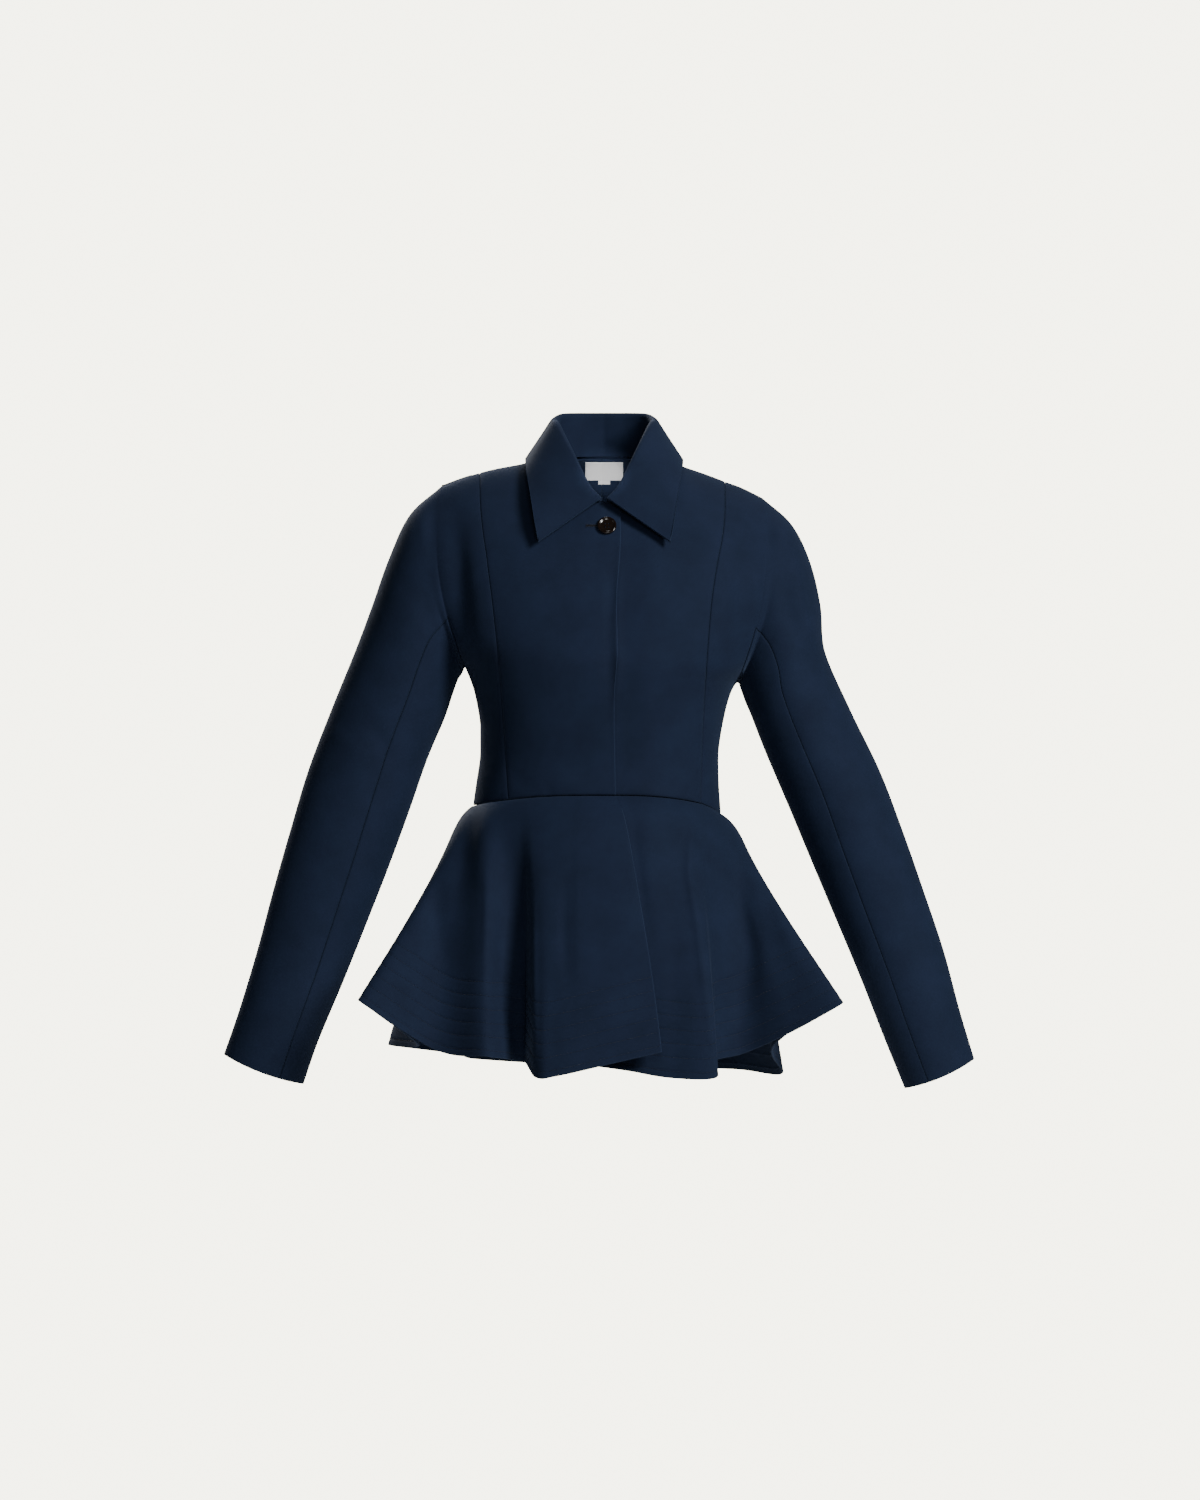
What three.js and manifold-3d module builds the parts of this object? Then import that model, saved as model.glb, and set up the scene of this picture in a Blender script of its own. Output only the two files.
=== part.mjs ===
// Peplum jacket, filled out as worn, with nobody inside. Millimetres, +Z up, front towards -Y.
// The wearer's right is -X. The origin lies between the shoulders, at the foot of the collar.
import * as THREE from 'three';
import Module from 'manifold-3d';

const wasm = await Module();
wasm.setup();

const vec = (x, y, z) => new THREE.Vector3(x, y, z);

// Driving sizes
const WALL = 2.0;             // cloth with its interfacing
const SEAM_GAP = 0.3;         // between two pieces at a seam
const UNDERLAP = 3.2;         // how far the under front lies behind the over front
const SECTION_POWER = 2.2;    // 2 is an ellipse, more is squarer
const RIDGE_Y = 10;           // the shoulder line lies a little behind the middle
const FRONT_ROLL = 110;       // drop over which the shoulder rounds to the chest
const BACK_ROLL = 120;
const NECK = { halfWidth: 66, frontZ: -43, sideZ: 4.5, backZ: 4 };
const ARM_ROWS = 10;          // cloth rows from the shoulder line to the armpit
const WAIST_ROWS = 5;         // rows from the armpit to the waist seam
const NECK_SPREAD = 2.2;      // columns leave their places on the neck line this fast
const SEAM_ROW = 7;           // row of the gusset point on the armhole line
const NECK_COLS = 4;          // columns across half the neck
const PRINCESS_COL = 6;       // column of the princess seam
const SIDE_COL = 10;          // column of the armhole and side line
const RINGS = 22;             // rings along a sleeve
const PEPLUM_SPLIT = 3;       // peplum columns for each bodice column
// Shares of the way down at which the peplum's rows lie
const PEPLUM_ROW_AT = [0, 0.05, 0.14, 0.3, 0.47, 0.65, 0.83, 1];
const SPRING = 17;            // how far the peplum springs out below the waist seam
const SPRING_START = 0.05;    // share of the way down over which it does so
const COLLAR_WALL = 2.4;
const COLLAR_LIFT = 4.0;      // collar middle above the bodice
const COLLAR_FOOT_IN = 1.1;    // foot of the collar inside and above the neck line
const COLLAR_FOOT_UP = 1.7;
const COLLAR_SPLIT = 2;
const CLOTH_COLOUR = 0x1b2940;
const LABEL_COLOUR = 0xe6e6e2;
const BUTTON_COLOUR = 0x17110f;
const CLOTH_ROUGHNESS = 0.85;
const BUTTON_ROUGHNESS = 0.25;
const SHARED_WITHIN = 0.02;   // points nearer than this are one point of the cloth
const SHARPEST_CORNER = 0.35; // corners sharper than this are trimmed at a seam

// Bodice half widths at the side line. Above the armpits the torso goes on inside the sleeves.
const HALF_WIDTH = [
  { z: 40, right: 215, left: 215 }, { z: -60, right: 213, left: 213 },
  { z: -100, right: 206, left: 207 }, { z: -140, right: 194, left: 198 },
  { z: -170, right: 182, left: 188 }, { z: -195, right: 168, left: 177 },
  { z: -220.4, right: 147, left: 160 }, { z: -234.3, right: 140.5, left: 145.5 },
  { z: -249, right: 136, left: 137.5 }, { z: -281, right: 130.5, left: 129.5 },
  { z: -313, right: 130.5, left: 125 }, { z: -345, right: 135, left: 125.5 },
  { z: -380, right: 140, left: 128 },
];

// Depth of the bodice in front of and behind the side line, in the middle
const DEPTH = [
  { z: 40, front: 58, back: 92 }, { z: 0, front: 66, back: 98 },
  { z: -43, front: 73, back: 104 }, { z: -100, front: 96, back: 110 },
  { z: -160, front: 110, back: 112 }, { z: -215, front: 116, back: 104 },
  { z: -280, front: 105, back: 91 }, { z: -330, front: 97, back: 86 },
  { z: -380, front: 100, back: 90 },
];

// Height of the shoulder line, from the neck out over the arm
const SHOULDER = [
  { c: 0, right: 25, left: 25 }, { c: 40, right: 14, left: 14 },
  { c: 66, right: 4.5, left: 4.5 }, { c: 84, right: -1, left: -3 },
  { c: 113, right: -6.5, left: -13 }, { c: 131, right: -11, left: -20 },
  { c: 150, right: -17, left: -27 }, { c: 180, right: -29, left: -42 },
];

// Distance of the princess seams from the middle
const PRINCESS = [
  { z: 0, right: 131, left: 132, back: 131 }, { z: -51, right: 128, left: 131, back: 127 },
  { z: -105, right: 123, left: 124, back: 119 }, { z: -148, right: 117.7, left: 117.7, back: 111 },
  { z: -201, right: 112, left: 113.4, back: 100 }, { z: -276, right: 106, left: 109, back: 84 },
  { z: -360, right: 100.6, left: 106, back: 74 },
];

// The visible edge of the over front, past the middle on the wearer's left
const FRONT_EDGE = [
  { z: -50, x: 20 }, { z: -59, x: 22.5 }, { z: -105, x: 19 }, { z: -148, x: 16 },
  { z: -201, x: 17 }, { z: -255, x: 13.5 }, { z: -360, x: 15 },
];
const UNDER_EDGE = 12;        // the under front runs this far past the middle
const UNDER_DROP = 3;         // and starts this far below the neck line there
const UNDERLAP_FULL = 22;     // the under front lies fully behind up to here
const UNDERLAP_END = 60;      // and has come up to the bodice surface here

// Sleeve sections from the armhole to the cuff: outer and inner points of the outline from the
// front, depths in front and behind, middle line, outward bow and the angle of the sleeve seams
const SLEEVE_RIGHT = [
  { ox: 172, oz: -25, ix: 146.6, iz: -220.4, front: 62, back: 66, mid: 8, bow: 14, seam: 116 },
  { ox: 206.5, oz: -57, ix: 150, iz: -227, front: 63, back: 68, mid: 7, bow: 8, seam: 113 },
  { ox: 229, oz: -105, ix: 154.1, iz: -233.3, front: 63, back: 68, mid: 6, bow: 6, seam: 108 },
  { ox: 246, oz: -153, ix: 159.8, iz: -249.3, front: 61, back: 65, mid: 5, bow: 5, seam: 105 },
  { ox: 264, oz: -201, ix: 168.5, iz: -275, front: 58, back: 60, mid: 3, bow: 3, seam: 104 },
  { ox: 290, oz: -265, ix: 186.5, iz: -317.5, front: 54, back: 55, mid: 0, bow: 0, seam: 105 },
  { ox: 314.6, oz: -329.6, ix: 205.3, iz: -371.5, front: 51, back: 52, mid: -4, bow: 0, seam: 107 },
  { ox: 333.8, oz: -393.8, ix: 227.6, iz: -432.4, front: 48, back: 49, mid: -9, bow: 0, seam: 109 },
  { ox: 352, oz: -458, ix: 251.9, iz: -494.4, front: 45, back: 46, mid: -15, bow: 0, seam: 111 },
  { ox: 369, oz: -522, ix: 276.4, iz: -555.7, front: 42, back: 43, mid: -22, bow: 0, seam: 113 },
  { ox: 388.4, oz: -586.4, ix: 302.4, iz: -617.7, front: 39, back: 39, mid: -29, bow: 0, seam: 115 },
  { ox: 404.6, oz: -633.3, ix: 319, iz: -665.3, front: 36, back: 36, mid: -34, bow: 4, seam: 116 },
];
const SLEEVE_LEFT = [
  { ox: 172, oz: -38, ix: 145.5, iz: -234.3, front: 62, back: 66, mid: 8, bow: 14, seam: 114 },
  { ox: 203, oz: -66, ix: 147.5, iz: -240, front: 63, back: 69, mid: 7, bow: 8, seam: 111 },
  { ox: 222.6, oz: -105, ix: 150, iz: -247, front: 63, back: 70, mid: 6, bow: 6, seam: 107 },
  { ox: 234.3, oz: -153, ix: 154, iz: -258, front: 61, back: 69, mid: 5, bow: 5, seam: 104 },
  { ox: 238.6, oz: -201, ix: 160, iz: -272, front: 58, back: 64, mid: 3, bow: 3, seam: 103 },
  { ox: 266.4, oz: -265.4, ix: 175.5, iz: -311.7, front: 54, back: 56, mid: 0, bow: 0, seam: 104 },
  { ox: 297.5, oz: -329.6, ix: 200, iz: -369, front: 51, back: 52, mid: -4, bow: 0, seam: 106 },
  { ox: 322.1, oz: -393.8, ix: 225, iz: -429, front: 48, back: 49, mid: -9, bow: 0, seam: 109 },
  { ox: 344.5, oz: -458, ix: 251.5, iz: -492, front: 45, back: 46, mid: -15, bow: 0, seam: 111 },
  { ox: 365.9, oz: -522.2, ix: 277.5, iz: -554.3, front: 42, back: 43, mid: -22, bow: 0, seam: 112 },
  { ox: 383.1, oz: -586.4, ix: 301.7, iz: -616, front: 39, back: 39, mid: -29, bow: 0, seam: 112 },
  { ox: 398.6, oz: -638.3, ix: 323.7, iz: -669.9, front: 36, back: 36, mid: -34, bow: 4, seam: 112 },
];

// Hem of the peplum, a row for each ridge and valley. "at" is the direction of the waist point
// that the fold hangs from, in degrees from the front middle towards the wearer's right.
const HEM = [
  { at: -8.7, x: 64, y: -214, z: -629 }, { at: 3, x: 12, y: -215, z: -641 },
  { at: 26.6, x: -50, y: -212, z: -655 }, { at: 41, x: -72, y: -198, z: -656 },
  { at: 47, x: -84, y: -146, z: -641 }, { at: 60, x: -122, y: -186, z: -634 },
  { at: 71, x: -178, y: -152, z: -627 }, { at: 79, x: -257, y: -168, z: -576 },
  { at: 87, x: -240, y: -92, z: -590 }, { at: 95, x: -197, y: -18, z: -624 },
  { at: 107, x: -229, y: 118, z: -625 }, { at: 115, x: -160, y: 118, z: -634 },
  { at: 126, x: -142, y: 196, z: -640 }, { at: 137, x: -84, y: 150, z: -644 },
  { at: 153, x: -48, y: 212, z: -646 }, { at: 175, x: 4, y: 158, z: -648 },
  { at: 198, x: 62, y: 206, z: -650 }, { at: 216, x: 92, y: 150, z: -650 },
  { at: 231, x: 150, y: 180, z: -652 }, { at: 245, x: 194, y: 122, z: -656 },
  { at: 265.5, x: 184, y: 8, z: -626 }, { at: 274.5, x: 224, y: -84, z: -594 },
  { at: 284, x: 257, y: -165, z: -577 }, { at: 291.5, x: 204, y: -156, z: -607 },
  { at: 301, x: 150, y: -128, z: -632 }, { at: 307, x: 119, y: -160, z: -640 },
  { at: 312, x: 123, y: -202, z: -656 }, { at: 323.6, x: 76, y: -197, z: -657 },
  { at: 345, x: 25, y: -185, z: -649 }, { at: 367.5, x: -34, y: -176, z: -641 },
];
const FOLD_START = 1.4;       // folds deepen with this power of the way down
const FOLD_MEAN = 28;         // degrees either side over which the foldless cone is averaged
const FOLD_SAMPLES = 8;       // places on either side that the average is taken from

// Waist seam heights
const WAIST = { front: -356, right: -367, left: -376, back: -364 };

// Collar: rows from the front end to the back middle. "neck" runs 0 to 1 round the front of the
// neck and 1 to 2 round the back. The roll is the top fold and the edge is the leaf's outer edge.
const COLLAR = [
  { neck: 0.02, rollX: 3, rollY: -76, rollZ: -40, edgeX: 71, edgeY: -98, edgeZ: -87, radius: 2.4 },
  { neck: 0.30, rollX: 17, rollY: -68, rollZ: -24, edgeX: 75, edgeY: -88, edgeZ: -64, radius: 2.6 },
  { neck: 0.62, rollX: 35, rollY: -43, rollZ: 13, edgeX: 79, edgeY: -66, edgeZ: -36, radius: 3 },
  { neck: 0.85, rollX: 48, rollY: -14, rollZ: 39, edgeX: 83, edgeY: -34, edgeZ: -10, radius: 3.4 },
  { neck: 1.00, rollX: 52, rollY: 10, rollZ: 45, edgeX: 84, edgeY: 8, edgeZ: 2, radius: 3.6 },
  { neck: 1.35, rollX: 45, rollY: 34, rollZ: 51, edgeX: 71, edgeY: 52, edgeZ: -2, radius: 3.6 },
  { neck: 1.70, rollX: 25, rollY: 48, rollZ: 52, edgeX: 39, edgeY: 74, edgeZ: -7, radius: 3.6 },
  { neck: 2.00, rollX: 0, rollY: 52, rollZ: 52, edgeX: 0, edgeY: 81, edgeZ: -9, radius: 3.6 },
];
const COLLAR_MIDDLE = 2.5;    // the collar closes this far to the wearer's left of the middle
// Rounding of the roll: steps out and down from the top of the roll, in roll radii
const ROLL_ROUND = [[-1, 1], [-0.65, 0.25], [0, 0], [0.65, 0.25], [1, 1]];
const LEAF_SPLIT = [0.3, 0.65];   // shares of the leaf at which it is lifted clear of the bodice
const STEEP = 0.5;            // slope above which the leaf is lifted outwards, not upwards
const COLLAR_CENTRE = vec(0, 0, 20);

const BUTTON = { x: 5.4, z: -69.6, radius: 10.2, thick: 3.6, gap: 0.6 };
// Half section of the button: distance in from the edge, height above the cloth side
const BUTTON_EDGE = [[1.2, 0], [0.3, 0.6], [0, 1.7], [0.4, 3.1], [1.3, 3.6], [2.3, 3.4], [3.2, 2.5]];
const BUTTON_SIDES = 32;
const BUTTON_HOLE = { radius: 0.95, spread: 2.0, sides: 10 };
const LABEL = { x: 2.5, width: 42, top: 3, height: 20, thick: 1.0, gap: 0.8 };
const TAB = { x: 2.5, width: 14, height: 5 };
const PATCH_COLUMNS = 6;      // of the label and the tab
const PATCH_ROWS = 3;
const SLOPE_STEP = 2;         // distance over which the slope of the back is measured
const FAR_BEHIND = vec(0, 400, 0);

// Small helpers
const clamp01 = (t) => Math.min(1, Math.max(0, t));
const lerp = (a, b, t) => a + (b - a) * t;
const ease = (t) => { const u = clamp01(t); return u * u * (3 - 2 * u); };
const radians = (degrees) => (degrees * Math.PI) / 180;

// Smooth track through the rows of a table: a cubic, by default one that never overshoots a row
function track(rows, by, key, loose = false) {
  const sorted = [...rows].sort((p, q) => p[by] - q[by]);
  const slopes = sorted.map((row, i) => {
    const before = sorted[Math.max(0, i - 1)];
    const after = sorted[Math.min(sorted.length - 1, i + 1)];
    return (after[key] - before[key]) / (after[by] - before[by]);
  });
  return (t) => {
    let i = 0;
    while (i < sorted.length - 2 && t > sorted[i + 1][by]) i += 1;
    const step = sorted[i + 1][by] - sorted[i][by];
    const u = clamp01((t - sorted[i][by]) / step);
    const a = sorted[i][key];
    const b = sorted[i + 1][key];
    const straight = (b - a) / step;
    const limit = (slope) => {
      if (loose) return slope;
      if (slope * straight <= 0) return 0;
      return Math.sign(straight) * Math.min(Math.abs(slope), 3 * Math.abs(straight));
    };
    const first = limit(slopes[i]) * step;
    const last = limit(slopes[i + 1]) * step;
    const u2 = u * u;
    const u3 = u2 * u;
    return a * (2 * u3 - 3 * u2 + 1) + first * (u3 - 2 * u2 + u) + b * (3 * u2 - 2 * u3)
      + last * (u3 - u2);
  };
}

// Bodice surface. side is 'right' or 'left'; c is the distance from the middle on that side.
const signOf = { right: -1, left: 1 };
const halfWidth = {
  right: track(HALF_WIDTH, 'z', 'right'),
  left: track(HALF_WIDTH, 'z', 'left'),
};
const shoulderZ = { right: track(SHOULDER, 'c', 'right'), left: track(SHOULDER, 'c', 'left') };
const depth = { front: track(DEPTH, 'z', 'front'), back: track(DEPTH, 'z', 'back') };
const princess = {
  front: { right: track(PRINCESS, 'z', 'right'), left: track(PRINCESS, 'z', 'left') },
  back: { right: track(PRINCESS, 'z', 'back'), left: track(PRINCESS, 'z', 'back') },
};
const frontEdge = track(FRONT_EDGE, 'z', 'x');
const rollIn = (drop, over) => {
  const u = clamp01(drop / over);
  return Math.sqrt(1 - (1 - u) * (1 - u));
};

function bodiceY(face, side, c, z) {
  const across = Math.min(1, Math.abs(c) / halfWidth[side](z));
  const fall = Math.pow(1 - Math.pow(across, SECTION_POWER), 1 / SECTION_POWER);
  const drop = shoulderZ[side](Math.abs(c)) - z;
  const reach = depth[face](z) * fall;
  if (face === 'front') return RIDGE_Y - (RIDGE_Y + reach) * rollIn(drop, FRONT_ROLL);
  return RIDGE_Y + (reach - RIDGE_Y) * rollIn(drop, BACK_ROLL);
}

// A point of the neck line: 0 front middle, 1 at the side of the neck, 2 back middle
function neckPoint(side, along) {
  if (along <= 1) {
    const angle = along * Math.PI / 2;
    const c = NECK.halfWidth * Math.sin(angle);
    const z = NECK.sideZ - (NECK.sideZ - NECK.frontZ) * Math.cos(angle);
    return vec(signOf[side] * c, bodiceY('front', side, c, z), z);
  }
  const angle = (along - 1) * Math.PI / 2;
  const c = NECK.halfWidth * Math.cos(angle);
  const z = NECK.sideZ - (NECK.sideZ - NECK.backZ) * Math.sin(angle);
  return vec(signOf[side] * c, bodiceY('back', side, c, z), z);
}

// Sleeve sections
const sleeveRows = { right: SLEEVE_RIGHT, left: SLEEVE_LEFT };
function sleeveSection(side, t) {
  const rows = sleeveRows[side].map((row, at) => ({ ...row, at }));
  const section = {};
  for (const key of ['ox', 'oz', 'ix', 'iz', 'front', 'back', 'mid', 'bow', 'seam']) {
    section[key] = track(rows, 'at', key)(t);
  }
  return section;
}

const seamAngle = (section, m) => {
  const seam = radians(section.seam);
  if (m <= SEAM_ROW) return (seam * m) / SEAM_ROW;
  return lerp(seam, Math.PI, (m - SEAM_ROW) / (ARM_ROWS - SEAM_ROW));
};

// The point of a section in the plane seen from the front, at an angle from its outer point
function sectionPoint(section, angle) {
  const half = { c: (section.ox - section.ix) / 2, z: (section.oz - section.iz) / 2 };
  const size = Math.hypot(half.c, half.z);
  const out = { c: half.z / size, z: -half.c / size };
  const bow = section.bow * Math.sin(angle) ** 2;
  return {
    c: (section.ox + section.ix) / 2 + half.c * Math.cos(angle) + out.c * bow,
    z: (section.oz + section.iz) / 2 + half.z * Math.cos(angle) + out.z * bow,
  };
}

// The armhole line, from the shoulder down to the armpit
function armholePoint(side, row) {
  const section = sleeveSection(side, 0);
  return sectionPoint(section, seamAngle(section, row));
}

// Bodice grid of one quarter: columns from the middle to the armhole and side line
function bodicePoint(face, side, column, row) {
  const low = row > ARM_ROWS ? (row - ARM_ROWS) / WAIST_ROWS : 0;
  const armpit = armholePoint(side, ARM_ROWS);
  const middleArmpit = (armholePoint('right', ARM_ROWS).z + armholePoint('left', ARM_ROWS).z) / 2;
  const across = clamp01(column / SIDE_COL);
  const armpitZ = lerp(middleArmpit, armpit.z, ease(across));
  const waistZ = lerp(WAIST[face], WAIST[side], ease(across) ** 2);
  if (row === 0 && column <= NECK_COLS && column >= 0) {
    const along = column / NECK_COLS;
    return neckPoint(side, face === 'front' ? along : 2 - along);
  }
  if (column <= PRINCESS_COL) {
    const down = 1 - Math.cos((Math.PI / 2) * Math.min(1, row / ARM_ROWS));
    const top = columnTop(face, side, column);
    const z = low > 0 ? lerp(armpitZ, waistZ, low) : lerp(top.z, armpitZ, down);
    const spread = (princess[face][side](z) * column) / PRINCESS_COL;
    const lowC = column < 0 ? middleEdge(side, z) : spread;
    const c = row === 0 ? top.c : lerp(top.c, lowC, ease(down * NECK_SPREAD));
    const height = row === 0 && column > NECK_COLS ? shoulderZ[side](c) : z;
    const x = signOf[side] * c;
    return vec(x, bodiceY(face, side, c, height), height);
  }
  return sidePoint(face, side, column, row, low, armpitZ, waistZ);
}

// How far past the middle the front edge lies, counted towards the wearer's own side
function middleEdge(side, z) {
  return side === 'right' ? -frontEdge(z) : -UNDER_EDGE;
}

// Where a column starts: on the neck line, the shoulder line or the top of the front edge
function columnTop(face, side, column) {
  if (column < 0) {
    const z = side === 'right' ? FRONT_EDGE[0].z : NECK.frontZ - UNDER_DROP;
    return { c: middleEdge(side, z), z };
  }
  if (column <= NECK_COLS) {
    const along = column / NECK_COLS;
    const point = neckPoint(side, face === 'front' ? along : 2 - along);
    return { c: Math.abs(point.x), z: point.z };
  }
  const share = (column - NECK_COLS) / (PRINCESS_COL - NECK_COLS);
  const c = lerp(NECK.halfWidth, PRINCESS[0][side], share);
  return { c, z: shoulderZ[side](c) };
}

// Columns between the princess seam and the armhole and side line
function sidePoint(face, side, column, row, low, armpitZ, waistZ) {
  const share = (column - PRINCESS_COL) / (SIDE_COL - PRINCESS_COL);
  const inner = bodicePoint(face, side, PRINCESS_COL, row);
  const innerC = Math.abs(inner.x);
  const turn = (c, z) => Math.asin(Math.pow(Math.min(1, c / halfWidth[side](z)), SECTION_POWER / 2));
  const spread = (z, outerTurn) => {
    const angle = lerp(turn(innerC, inner.z), outerTurn, share);
    return halfWidth[side](z) * Math.pow(Math.sin(angle), 2 / SECTION_POWER);
  };
  if (low > 0) {
    const z = lerp(armpitZ, waistZ, low);
    const c = spread(z, Math.PI / 2);
    return vec(signOf[side] * c, bodiceY(face, side, c, z), z);
  }
  const arm = armholePoint(side, row);
  if (column === SIDE_COL) {
    const y = row === ARM_ROWS ? 0 : bodiceY(face, side, arm.c, arm.z);
    return vec(signOf[side] * arm.c, row === 0 ? RIDGE_Y : y, arm.z);
  }
  const drop = lerp(shoulderZ[side](innerC) - inner.z, shoulderZ[side](arm.c) - arm.z, share);
  const guess = lerp(inner.z, arm.z, share);
  const c = spread(guess, turn(arm.c, arm.z));
  const z = shoulderZ[side](c) - drop;
  const y = row === 0 ? RIDGE_Y : bodiceY(face, side, c, z);
  return vec(signOf[side] * c, y, z);
}

// A cloth is a set of grids whose points are shared where they coincide
function newCloth() {
  return { points: [], faces: [], index: new Map() };
}

function clothPoint(cloth, point) {
  const key = [point.x, point.y, point.z].map((n) => Math.round(n / SHARED_WITHIN)).join(' ');
  if (!cloth.index.has(key)) {
    cloth.index.set(key, cloth.points.length);
    cloth.points.push(point.clone());
  }
  return cloth.index.get(key);
}

// Adds a grid of points. pieceOf(row, column) names the piece that a face belongs to, and
// inside(row) is a point that the cloth goes round, so that the faces look away from it.
function addGrid(cloth, grid, pieceOf, inside) {
  const ids = grid.map((row) => row.map((point) => clothPoint(cloth, point)));
  const found = [];
  let away = 0;
  for (let r = 0; r + 1 < ids.length; r += 1) {
    for (let k = 0; k + 1 < ids[r].length; k += 1) {
      const face = [ids[r][k], ids[r][k + 1], ids[r + 1][k + 1], ids[r + 1][k]];
      const [a, b, c, d] = face.map((id) => cloth.points[id]);
      const normal = c.clone().sub(a).cross(d.clone().sub(b));
      away += Math.sign(normal.dot(a.clone().add(c).multiplyScalar(0.5).sub(inside(r))));
      found.push({ face, piece: pieceOf(r, k) });
    }
  }
  for (const { face, piece } of found) {
    cloth.faces.push({ corners: away >= 0 ? face : face.reverse(), piece });
  }
}

// Triangles of a face without repeated corners
function faceTriangles(corners) {
  const ring = corners.filter((id, i) => id !== corners[(i + 1) % corners.length]);
  const triangles = [];
  for (let i = 1; i + 1 < ring.length; i += 1) triangles.push([ring[0], ring[i], ring[i + 1]]);
  return triangles;
}

function clothNormals(cloth) {
  const normals = cloth.points.map(() => vec(0, 0, 0));
  for (const { corners } of cloth.faces) {
    for (const triangle of faceTriangles(corners)) {
      const [a, b, c] = triangle.map((id) => cloth.points[id]);
      const normal = b.clone().sub(a).cross(c.clone().sub(a));
      for (const id of triangle) normals[id].add(normal);
    }
  }
  return normals.map((normal) => normal.normalize());
}

// Edges of a piece that only one of its faces uses, in the direction of that face
function pieceBoundary(triangles) {
  const seen = new Map();
  for (const [a, b, c] of triangles) {
    for (const [from, to] of [[a, b], [b, c], [c, a]]) {
      const key = Math.min(from, to) + ' ' + Math.max(from, to);
      seen.set(key, seen.has(key) ? null : [from, to]);
    }
  }
  return [...seen.values()].filter((edge) => edge !== null);
}

// Moves of the boundary points into the piece, half a seam gap square to every edge
function seamMoves(cloth, normals, boundary) {
  const moves = new Map();
  for (const [from, to] of boundary) {
    const along = cloth.points[to].clone().sub(cloth.points[from]).normalize();
    for (const id of [from, to]) {
      const inward = normals[id].clone().cross(along).normalize();
      if (!moves.has(id)) moves.set(id, []);
      moves.get(id).push(inward);
    }
  }
  const result = new Map();
  for (const [id, list] of moves) {
    const sum = list.reduce((total, dir) => total.add(dir), vec(0, 0, 0));
    const length = Math.max(sum.length(), SHARPEST_CORNER * list.length);
    const reach = (SEAM_GAP / 2) * list.length / length;
    result.set(id, sum.normalize().multiplyScalar(reach));
  }
  return result;
}

// The closed wall of one piece: outer skin, inner skin and the cut edges between them
function pieceWall(cloth, normals, piece, outward, inward) {
  const triangles = cloth.faces
    .filter((face) => face.piece === piece)
    .flatMap((face) => faceTriangles(face.corners));
  const boundary = pieceBoundary(triangles);
  const moves = seamMoves(cloth, normals, boundary);
  const used = [...new Set(triangles.flat())];
  const place = new Map(used.map((id, i) => [id, i]));
  const outer = [];
  const inner = [];
  for (const id of used) {
    const base = cloth.points[id].clone();
    if (moves.has(id)) base.add(moves.get(id));
    outer.push(base.clone().addScaledVector(normals[id], outward));
    inner.push(base.clone().addScaledVector(normals[id], -inward));
  }
  const indices = [];
  for (const [a, b, c] of triangles.map((t) => t.map((id) => place.get(id)))) {
    indices.push(a, b, c, used.length + a, used.length + c, used.length + b);
  }
  for (const [fromId, toId] of boundary) {
    const [from, to] = [place.get(fromId), place.get(toId)];
    const low = used.length + from;
    const lowNext = used.length + to;
    if (fromId < toId) indices.push(to, from, lowNext, from, low, lowNext);
    else indices.push(to, from, low, to, low, lowNext);
  }
  return solidGeometry([...outer, ...inner], indices);
}

function solidGeometry(points, indices) {
  const geometry = new THREE.BufferGeometry();
  const numbers = points.flatMap((point) => [point.x, point.y, point.z]);
  geometry.setAttribute('position', new THREE.Float32BufferAttribute(numbers, 3));
  geometry.setIndex(indices);
  geometry.computeVertexNormals();
  return geometry;
}

// The under front lies behind the over front near the middle
function layUnder(point) {
  const share = 1 - ease((point.x - UNDERLAP_FULL) / (UNDERLAP_END - UNDERLAP_FULL));
  point.y += UNDERLAP * share;
  return point;
}

function bodiceGrid(face, side) {
  const first = face === 'front' ? -1 : 0;
  const grid = [];
  for (let row = 0; row <= ARM_ROWS + WAIST_ROWS; row += 1) {
    const line = [];
    for (let column = first; column <= SIDE_COL; column += 1) {
      const point = bodicePoint(face, side, column, row);
      line.push(face === 'front' && side === 'left' ? layUnder(point) : point);
    }
    grid.push(line);
  }
  return grid;
}

// A sleeve ring as a closed line of points: front half down, back half up again
function sleeveRing(side, ring) {
  const points = [];
  const section = sleeveSection(side, (ring * (SLEEVE_RIGHT.length - 1)) / RINGS);
  for (let m = 0; m <= 2 * ARM_ROWS; m += 1) {
    const face = m <= ARM_ROWS ? 'front' : 'back';
    const row = m <= ARM_ROWS ? m : 2 * ARM_ROWS - m;
    if (ring === 0) {
      points.push(bodicePoint(face, side, SIDE_COL, row));
      continue;
    }
    const angle = seamAngle(section, row);
    const flat = sectionPoint(section, angle);
    const reach = face === 'front' ? -section.front : section.back;
    const y = row === ARM_ROWS || row === 0 ? section.mid : section.mid + reach * Math.sin(angle);
    points.push(vec(signOf[side] * flat.c, y, flat.z));
  }
  return points;
}

// Points inside each half of the bodice
const BODY_CENTRE = { right: vec(-60, 0, -170), left: vec(60, 0, -170) };

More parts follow.
